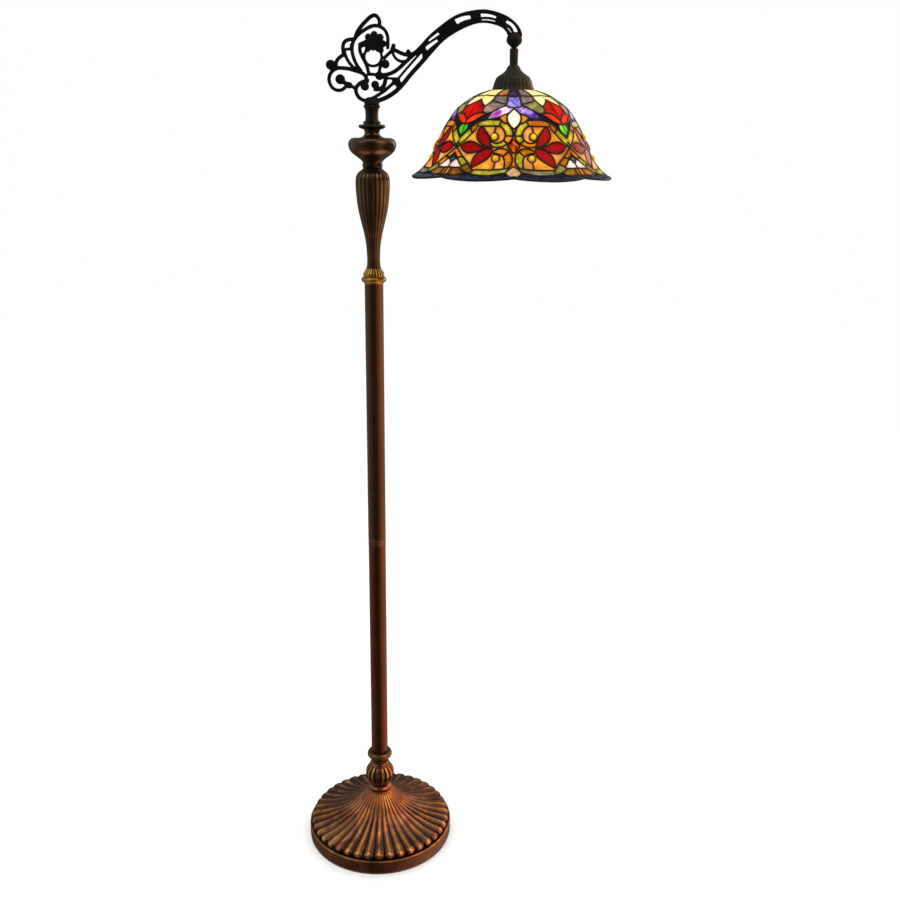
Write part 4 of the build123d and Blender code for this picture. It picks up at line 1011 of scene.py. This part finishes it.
def rough_diamond(facing):
    """Corners and faces of a chipped diamond of glass on the middle of a panel."""
    rows = 10
    length = paper(0, JEWEL_DOWN)[1]
    corners, index_of = [], {}
    for row in range(-rows, rows + 1):
        width = rows - abs(row)
        for step in range(-width, width + 1):
            out = abs(row) + abs(step)
            rise = 0
            if out < rows:
                rise = JEWEL_EDGE + JEWEL_CROWN * (1 - (out / rows) ** 2)
                rise += rng.uniform(-JEWEL_ROUGH, JEWEL_ROUGH)
            index_of[row, step] = len(corners)
            corners.append(on_wall(facing + JEWEL_TURN * step / rows, length + JEWEL_LENGTH * row / rows,
                                   GLASS / 2 + rise))
    faces = []
    for row, step in index_of:
        a, b, c, d = (row, step), (row, step + 1), (row + 1, step), (row + 1, step + 1)
        for face in ((b, c, a), (d, c, b)):
            if all(spot in index_of for spot in face):
                faces.append(tuple(index_of[spot] for spot in face))
    return corners, faces


def cabochon(angle, length):
    """Corners, faces and heights (0 at the foot, 1 on top) of a glass dome on the bell."""
    rings, around = 8, 28
    base = on_wall(angle, length, GLASS / 2)
    out = unit(on_wall(angle, length, 3 * GLASS) - base)
    across, up = square_to(out)
    tilts = [math.pi / 2 * ring / rings for ring in range(rings)]
    corners = []
    for tilt in tilts:
        middle = base + DOME_RISE * math.sin(tilt) * out
        corners.extend(circle(middle, across, up, CABOCHON * math.cos(tilt), around))
    corners.append(base + DOME_RISE * out)
    top = rings * around
    faces = ring_faces(rings, around)
    faces += [(top - around + step, top - around + (step + 1) % around, top) for step in range(around)]
    return corners, faces, np.append(np.repeat(np.sin(tilts), around), 1.0)


jewels, domes = Gather(), Gather()
for facing in PANELS.values():
    jewels.add(*rough_diamond(facing), 0, rng.random())
    for x, y in cabochons:
        degrees, length = paper(x, y)
        for mirror in (1, -1):
            corners, faces, heights = cabochon(facing + mirror * degrees, length)
            # Painted highlight and shade: each dome is paler and unshaded on top and deeper and darker
            # towards its foot; domes low on the panel are also deeper in colour
            tone = 2 * (1 - heights**2) + (0.5 if y > LOW_DOMES else 0.0)
            domes.add(corners, faces, 0, tone, heights**2.5)
dress(jewels.build("rough_jewels", [jewel_glass], smooth=False, crease=None), "shade", "jewel_glass",
      "diamond_jewels")
dress(domes.build("glass_cabochons", [cabochon_glass]), "shade", "cabochon_glass", "cabochon_jewels")


# Fluted castings


LEDGE_Z = 29.0
FLUTES, FLUTE_TURN = 40, -1.9
dome = flow([(133.6, 29), (136, 31), (137, 34.2), (136.2, 37.6), (133.2, 40.4), (127, 42.1), (117, 43.7),
             (107.2, 45.4), (93, 49.2), (80.3, 53.7), (68, 58.9), (56.9, 64.8), (48.4, 71.4), (41.4, 78.3),
             (34.4, 85), (28.2, 90.9), (24.4, 95.2), (22.5, 98.5)], 1.4)
dome_depths = np.interp(dome[:, 0], [22.5, 40, 80, 117, 128, 137], [0.8, 1.3, 2.2, 3.1, 4.2, 4.6])
foot = ribbed("fluted_foot", 0, dome, dome_depths, FLUTES, 16, FLUTE_TURN, foot_flutes, 2.0)
dress(foot, "stand", "cast_bronze", "base_shell")
wall_edge = np.concatenate([
    flow([(139.6, 2.0), (140.8, 3.4)], 0.6),
    flow([(141, 4.2), (141, 25.6)], 2),
    flow([(140.9, 26.9), (140, 28.4), (138.6, LEDGE_Z)], 0.4),
    [(137.6, LEDGE_Z), (133, LEDGE_Z - 0.1), (126, LEDGE_Z - 0.1)],
])
# Relief of each wall row: the rounded top edge gets a painted highlight, the foot and the ledge under the rib
# ends are darker
wall_relief_and_highlight = np.interp(wall_edge[:, 1], [2, 4, 25.6, 27, 28.2, LEDGE_Z], [0.3, 0.6, 0.6, 1.0, 1.0, 0.6])
wall_relief_and_highlight[-3:] = 0.3
wall = ribbed("foot_wall", 0, wall_edge, [0.0] * len(wall_edge), FLUTES, 6, 0, foot_rim, wear_and_highlight=wall_relief_and_highlight)
BUSHING_PLACE, BUSHING_RADIUS = np.array([0, 138, 14.0]), 5.05
bore_hole(wall, BUSHING_PLACE, (0, 1, 0), BUSHING_RADIUS, 24)
dress(wall, "stand", "cast_bronze")

BALL_Z, BALL_HIGH, BALL_RADIUS = 108.5, 61.5, 28.2
ball_shape = [(0, 0.56), (0.06, 0.65), (0.14, 0.78), (0.22, 0.885), (0.315, 0.97), (0.42, 1), (0.51, 0.967),
              (0.59, 0.885), (0.655, 0.78), (0.7, 0.69)]
neck_shape = [(0.7, 0.68), (0.71, 0.695), (0.72, 0.7), (0.73, 0.69), (0.743, 0.645), (0.757, 0.65),
              (0.77, 0.667), (0.785, 0.655), (0.8, 0.606), (0.84, 0.606), (0.92, 0.642), (0.97, 0.682),
              (1, 0.7)]
ball_lobes, ball_neck = (
    flow([(BALL_RADIUS * out, BALL_Z + BALL_HIGH * up) for up, out in shape], 0.8)
    for shape in (ball_shape, neck_shape))
ball_line = np.concatenate([ball_lobes, ball_neck])
lobe_depths = np.interp(ball_lobes[:, 1] - BALL_Z, [0, 8, 34, 43], [1.0, 2.4, 2.4, 1.2])
ball_depths = np.concatenate([lobe_depths, np.zeros(len(ball_neck))])
dress(ribbed("gadroon", 0, ball_line, ball_depths, 16, 16, 4, ball_copper, 2.0), "stand", "cast_bronze",
      "gadroon_ball")

REEDS_Z, REEDS_HIGH, PETALS_HIGH = 1120.0, 179.0, 13.0
REEDS, REED_STEPS, REED_TURN = 22, 14, 3
WAIST, SWELL = 11.2, 17.8
reed_shape = [(0.2, 0.01), (0.27, 0.05), (0.34, 0.14), (0.42, 0.3), (0.52, 0.55), (0.63, 0.79), (0.75, 0.94),
              (0.86, 1), (0.92, 0.95), (0.955, 0.78), (0.985, 0.44), (1.0, 0.25)]
reed_line = flow([(17.8, 0), (18.5, 3.6), (15.2, 9.0), (12.3, 15.2), (WAIST, 23.3)]
                 + [(WAIST + out * SWELL, up * REEDS_HIGH) for up, out in reed_shape], 1.2)
reed_line[:, 1] += REEDS_Z
reed_depths = np.interp(reed_line[:, 1] - REEDS_Z, [0, 4, 10, 16, 23, 45, 90, 160, 174, 179],
                        [0.9, 1.7, 1.5, 0.9, 0.5, 0.6, 0.8, 1.1, 1.2, 0.5])
petal_rows = int(np.sum(reed_line[:, 1] < REEDS_Z + PETALS_HIGH)) + 1
petals = ribbed("petal_foot", 0, reed_line[:petal_rows], reed_depths[:petal_rows],
                REEDS, REED_STEPS, REED_TURN, petal_brass)
dress(petals, "stand", "dark_bronze")
reeds = ribbed("reeded_baluster", 0, reed_line[petal_rows - 1:], reed_depths[petal_rows - 1:],
               REEDS, REED_STEPS, REED_TURN, reed_bronze)
dress(reeds, "stand", "dark_bronze", "baluster")

CAP_RADIUS, CAP_HIGH = 35.2, 39
cap_shape = [(0, 1), (0.12, 0.945), (0.36, 0.865), (0.48, 0.8), (0.56, 0.725), (0.61, 0.63), (0.72, 0.455),
             (0.82, 0.35), (0.93, 0.285), (1, 0.22)]
cap_line = flow([(CAP_RADIUS * out, CAP_RIM_Z + CAP_HIGH * up) for up, out in cap_shape], 0.8)
cap_depths = np.interp(cap_line[:, 1] - CAP_RIM_Z, [0, 3, 15, 20, 39], [0.6, 0.7, 0.6, 0.1, 0.0])
cap = ribbed("fluted_cap", SHADE_X, cap_line, cap_depths, 28, 12, 0, cap_black)
dress(cap, "shade", "dark_fitting", "shade_cap")
stem_line = flow([(6.8, 1463), (6.9, 1475), (7.1, 1488)], 1.5)
stem = ribbed("fluted_stem", SHADE_X, stem_line, [0.35] * len(stem_line), 12, 12, 0, cap_black)
dress(stem, "shade", "dark_fitting", "stem_sleeve")


# Scroll arm: the cast bars rounded over


def rounded_copy(name, source, voxel, passes, swell):
    """Copy of a node's mesh with its edges melted round, as a casting's are."""
    mesh = nodes_by_name[source].data.copy()
    piece = bpy.data.objects.new(name, mesh)
    scene.collection.objects.link(piece)
    mesh.materials.clear()
    remesh = piece.modifiers.new("melt", "REMESH")
    remesh.mode = "VOXEL"
    remesh.voxel_size = voxel
    soften = piece.modifiers.new("soften", "SMOOTH")
    soften.factor = 0.5
    soften.iterations = passes
    grow = piece.modifiers.new("grow", "DISPLACE")
    grow.mid_level = 0
    grow.strength = swell
    thin = piece.modifiers.new("thin", "DECIMATE")
    thin.ratio = 0.35
    settle(piece)
    piece.data.polygons.foreach_set("use_smooth", [True] * len(piece.data.polygons))
    return piece


arm = rounded_copy("scroll_arm", "arm_casting", voxel=0.0008, passes=7, swell=0.0003)
arm.data.materials.append(arm_black)
dress(arm, "arm", "arm_iron", "arm_casting")


# Finishes of the nodes that keep their own shape

lit_bulb = art_glass("lit_bulb", "fff4dc", "ffe2b0", 12.0, 0.4)
node_finish = {
    "felt_pad": black_felt, "base_ring": ring_copper, "pole_cup": cup_bronze, "lower_tube": lower_lacquer,
    "upper_tube": upper_lacquer, "joint_collar": joint_lacquer, "brass_ring": old_brass,
    "neck_ring": dark_bronze, "column_knop": knop_bronze, "drip_dish": dark_bronze, "arm_post": dark_bronze,
    "arm_collar": arm_black, "tip_nipple": dark_bronze, "cord_bushing": soft_rubber, "base_weight": raw_iron,
    "crown_collar": lead,
    "socket_cap": sheet_brass, "socket_shell": sheet_brass, "screw_shell": sheet_brass,
    "center_contact": sheet_brass, "bulb_base": sheet_brass,
    "socket_liner": insulator, "socket_core": insulator, "switch_key": moulded_black, "bulb_glass": lit_bulb,
}
for name, node in nodes_by_name.items():
    for place in node.material_slots:
        place.material = node_finish.get(name, plated_steel)


# Room: pale floor, soft studio light, and the photograph's camera

floor_paint = bpy.data.materials.new("floor_paint")
floor_paint.use_nodes = True
floor_shader = floor_paint.node_tree.nodes["Principled BSDF"]
floor_shader.inputs["Base Color"].default_value = (0.9, 0.9, 0.9, 1)
floor_shader.inputs["Roughness"].default_value = 0.8
floor_shader.inputs["Specular IOR Level"].default_value = 0.0
FLOOR = 6000
floor_corners = [(-FLOOR, -FLOOR, 0), (FLOOR, -FLOOR, 0), (FLOOR, FLOOR, 0), (-FLOOR, FLOOR, 0)]
floor = make_mesh("floor", floor_corners, [(0, 1, 2, 3)], [floor_paint], smooth=False)
floor.visible_glossy = False  # the metal mirrors the room instead

world = bpy.data.worlds.new("studio")
world.use_nodes = True
scene.world = world
sky = world.node_tree
look_out = sky.nodes.new("ShaderNodeTexCoord").outputs["Generated"]
toward = sky.nodes.new("ShaderNodeSeparateXYZ")
sky.links.new(look_out, toward.inputs["Vector"])


def glow(axis, *limits):
    """Brightness that changes along an axis of the room."""
    return ramp(sky, toward.outputs[axis], *limits)


def work(operation, first, second):
    """Arithmetic on the room's brightness."""
    return combine(sky, operation, first, second)


PATCH_FADE = (0.93, 0.98)  # cosines of the angles between which a patch of light fades


def window(direction, brightness):
    """Round patch of light in a direction."""
    node = sky.nodes.new("ShaderNodeVectorMath")
    node.operation = "DOT_PRODUCT"
    node.inputs[1].default_value = Vector(direction).normalized()
    sky.links.new(look_out, node.inputs[0])
    return ramp(sky, node.outputs["Value"], *PATCH_FADE, 0.0, brightness)


# What the metal mirrors: a dim olive room with a lamp overhead, two windows, a warm glow on the right,
# a weak one on the left, and some from the floor with two brighter patches
brightness = work("ADD", work("MULTIPLY", work("POWER", glow("X", 0.15, 1.0), 1.8), 2.8), 0.1)
for light in (
    work("MULTIPLY", work("POWER", glow("X", -0.3, -1.0), 2), 0.9),
    work("MULTIPLY", glow("Z", 0.1, 0.95, 0.0, 0.6), glow("Y", -0.8, 0.3, 0.25, 1.0)),
    glow("Z", 0.9, 0.99, 0.0, 3.0),
    work("MULTIPLY", glow("Z", -0.9, -0.55, 0.7, 0.0), glow("X", -0.9, 0.6, 0.3, 1.0)),
    window((0.6, -0.42, 0.68), 4.8),
    window((-0.6, -0.42, 0.68), 2.5),
    window((0.42, 0.0, -0.91), 4.6),
    window((-0.36, 0.0, -0.93), 2.3),
):
    brightness = work("ADD", brightness, light)
warmth = sky.nodes.new("ShaderNodeMix")
warmth.data_type = "RGBA"
warmth.inputs["A"].default_value = (0.84, 0.86, 0.76, 1)
warmth.inputs["B"].default_value = (1.0, 0.62, 0.34, 1)
sky.links.new(work("MAXIMUM", glow("X", 0.1, 0.7), glow("Z", -0.2, -0.6)), warmth.inputs["Factor"])
mirrored = sky.nodes.new("ShaderNodeBackground")
sky.links.new(brightness, mirrored.inputs["Strength"])
sky.links.new(warmth.outputs["Result"], mirrored.inputs["Color"])
# The lamp itself is lit evenly, and the camera sees a white room
ambient = sky.nodes["Background"]
ambient.inputs["Color"].default_value = WHITE
ambient.inputs["Strength"].default_value = 1.12
seen = sky.nodes.new("ShaderNodeBackground")
seen.inputs["Color"].default_value = WHITE
rays = sky.nodes.new("ShaderNodeLightPath")
room = ambient.outputs["Background"]
for kind, background in (("Is Glossy Ray", mirrored), ("Is Camera Ray", seen)):
    mixed = sky.nodes.new("ShaderNodeMixShader")
    sky.links.new(rays.outputs[kind], mixed.inputs["Fac"])
    sky.links.new(room, mixed.inputs[1])
    sky.links.new(background.outputs["Background"], mixed.inputs[2])
    room = mixed.outputs["Shader"]
sky.links.new(room, sky.nodes["World Output"].inputs["Surface"])


def softbox(name, place, aim, size, power, tint, in_metal=False):
    """Square studio light that faces a point, mirrored in the metal or not."""
    lamp = bpy.data.lights.new(name, "AREA")
    lamp.size = size
    lamp.energy = power
    lamp.color = tint
    holder = bpy.data.objects.new(name, lamp)
    holder.location = place
    holder.rotation_euler = (Vector(aim) - Vector(place)).to_track_quat("-Z", "Y").to_euler()
    holder.visible_glossy = in_metal
    scene.collection.objects.link(holder)


softbox("key", (0.35, -2.3, 2.7), (0.0, 0.0, 0.8), 1.0, 32, (1.0, 0.96, 0.9))
softbox("fill", (-1.8, -1.6, 1.6), (0.0, 0.0, 0.8), 1.8, 8, (1.0, 0.95, 0.9))
softbox("edge", (1.7, 1.5, 1.7), (0.3, 0.0, 1.35), 1.0, 9, (1.0, 0.97, 0.86), True)

CAMERA_PLACE = (0.13420, -1.78940, 1.35132)
CAMERA_DIP, CAMERA_ROLL = 16.9156, 0.54  # degrees
lens = bpy.data.cameras.new("camera")
lens.lens = 41.247
lens.sensor_width = 36.0
camera = bpy.data.objects.new("camera", lens)
camera.matrix_world = (
    Matrix.Translation(CAMERA_PLACE)
    @ Matrix.Rotation(math.radians(90 - CAMERA_DIP), 4, "X")
    @ Matrix.Rotation(math.radians(CAMERA_ROLL), 4, "Z")
)
scene.collection.objects.link(camera)
scene.camera = camera
scene.view_settings.view_transform = "Standard"
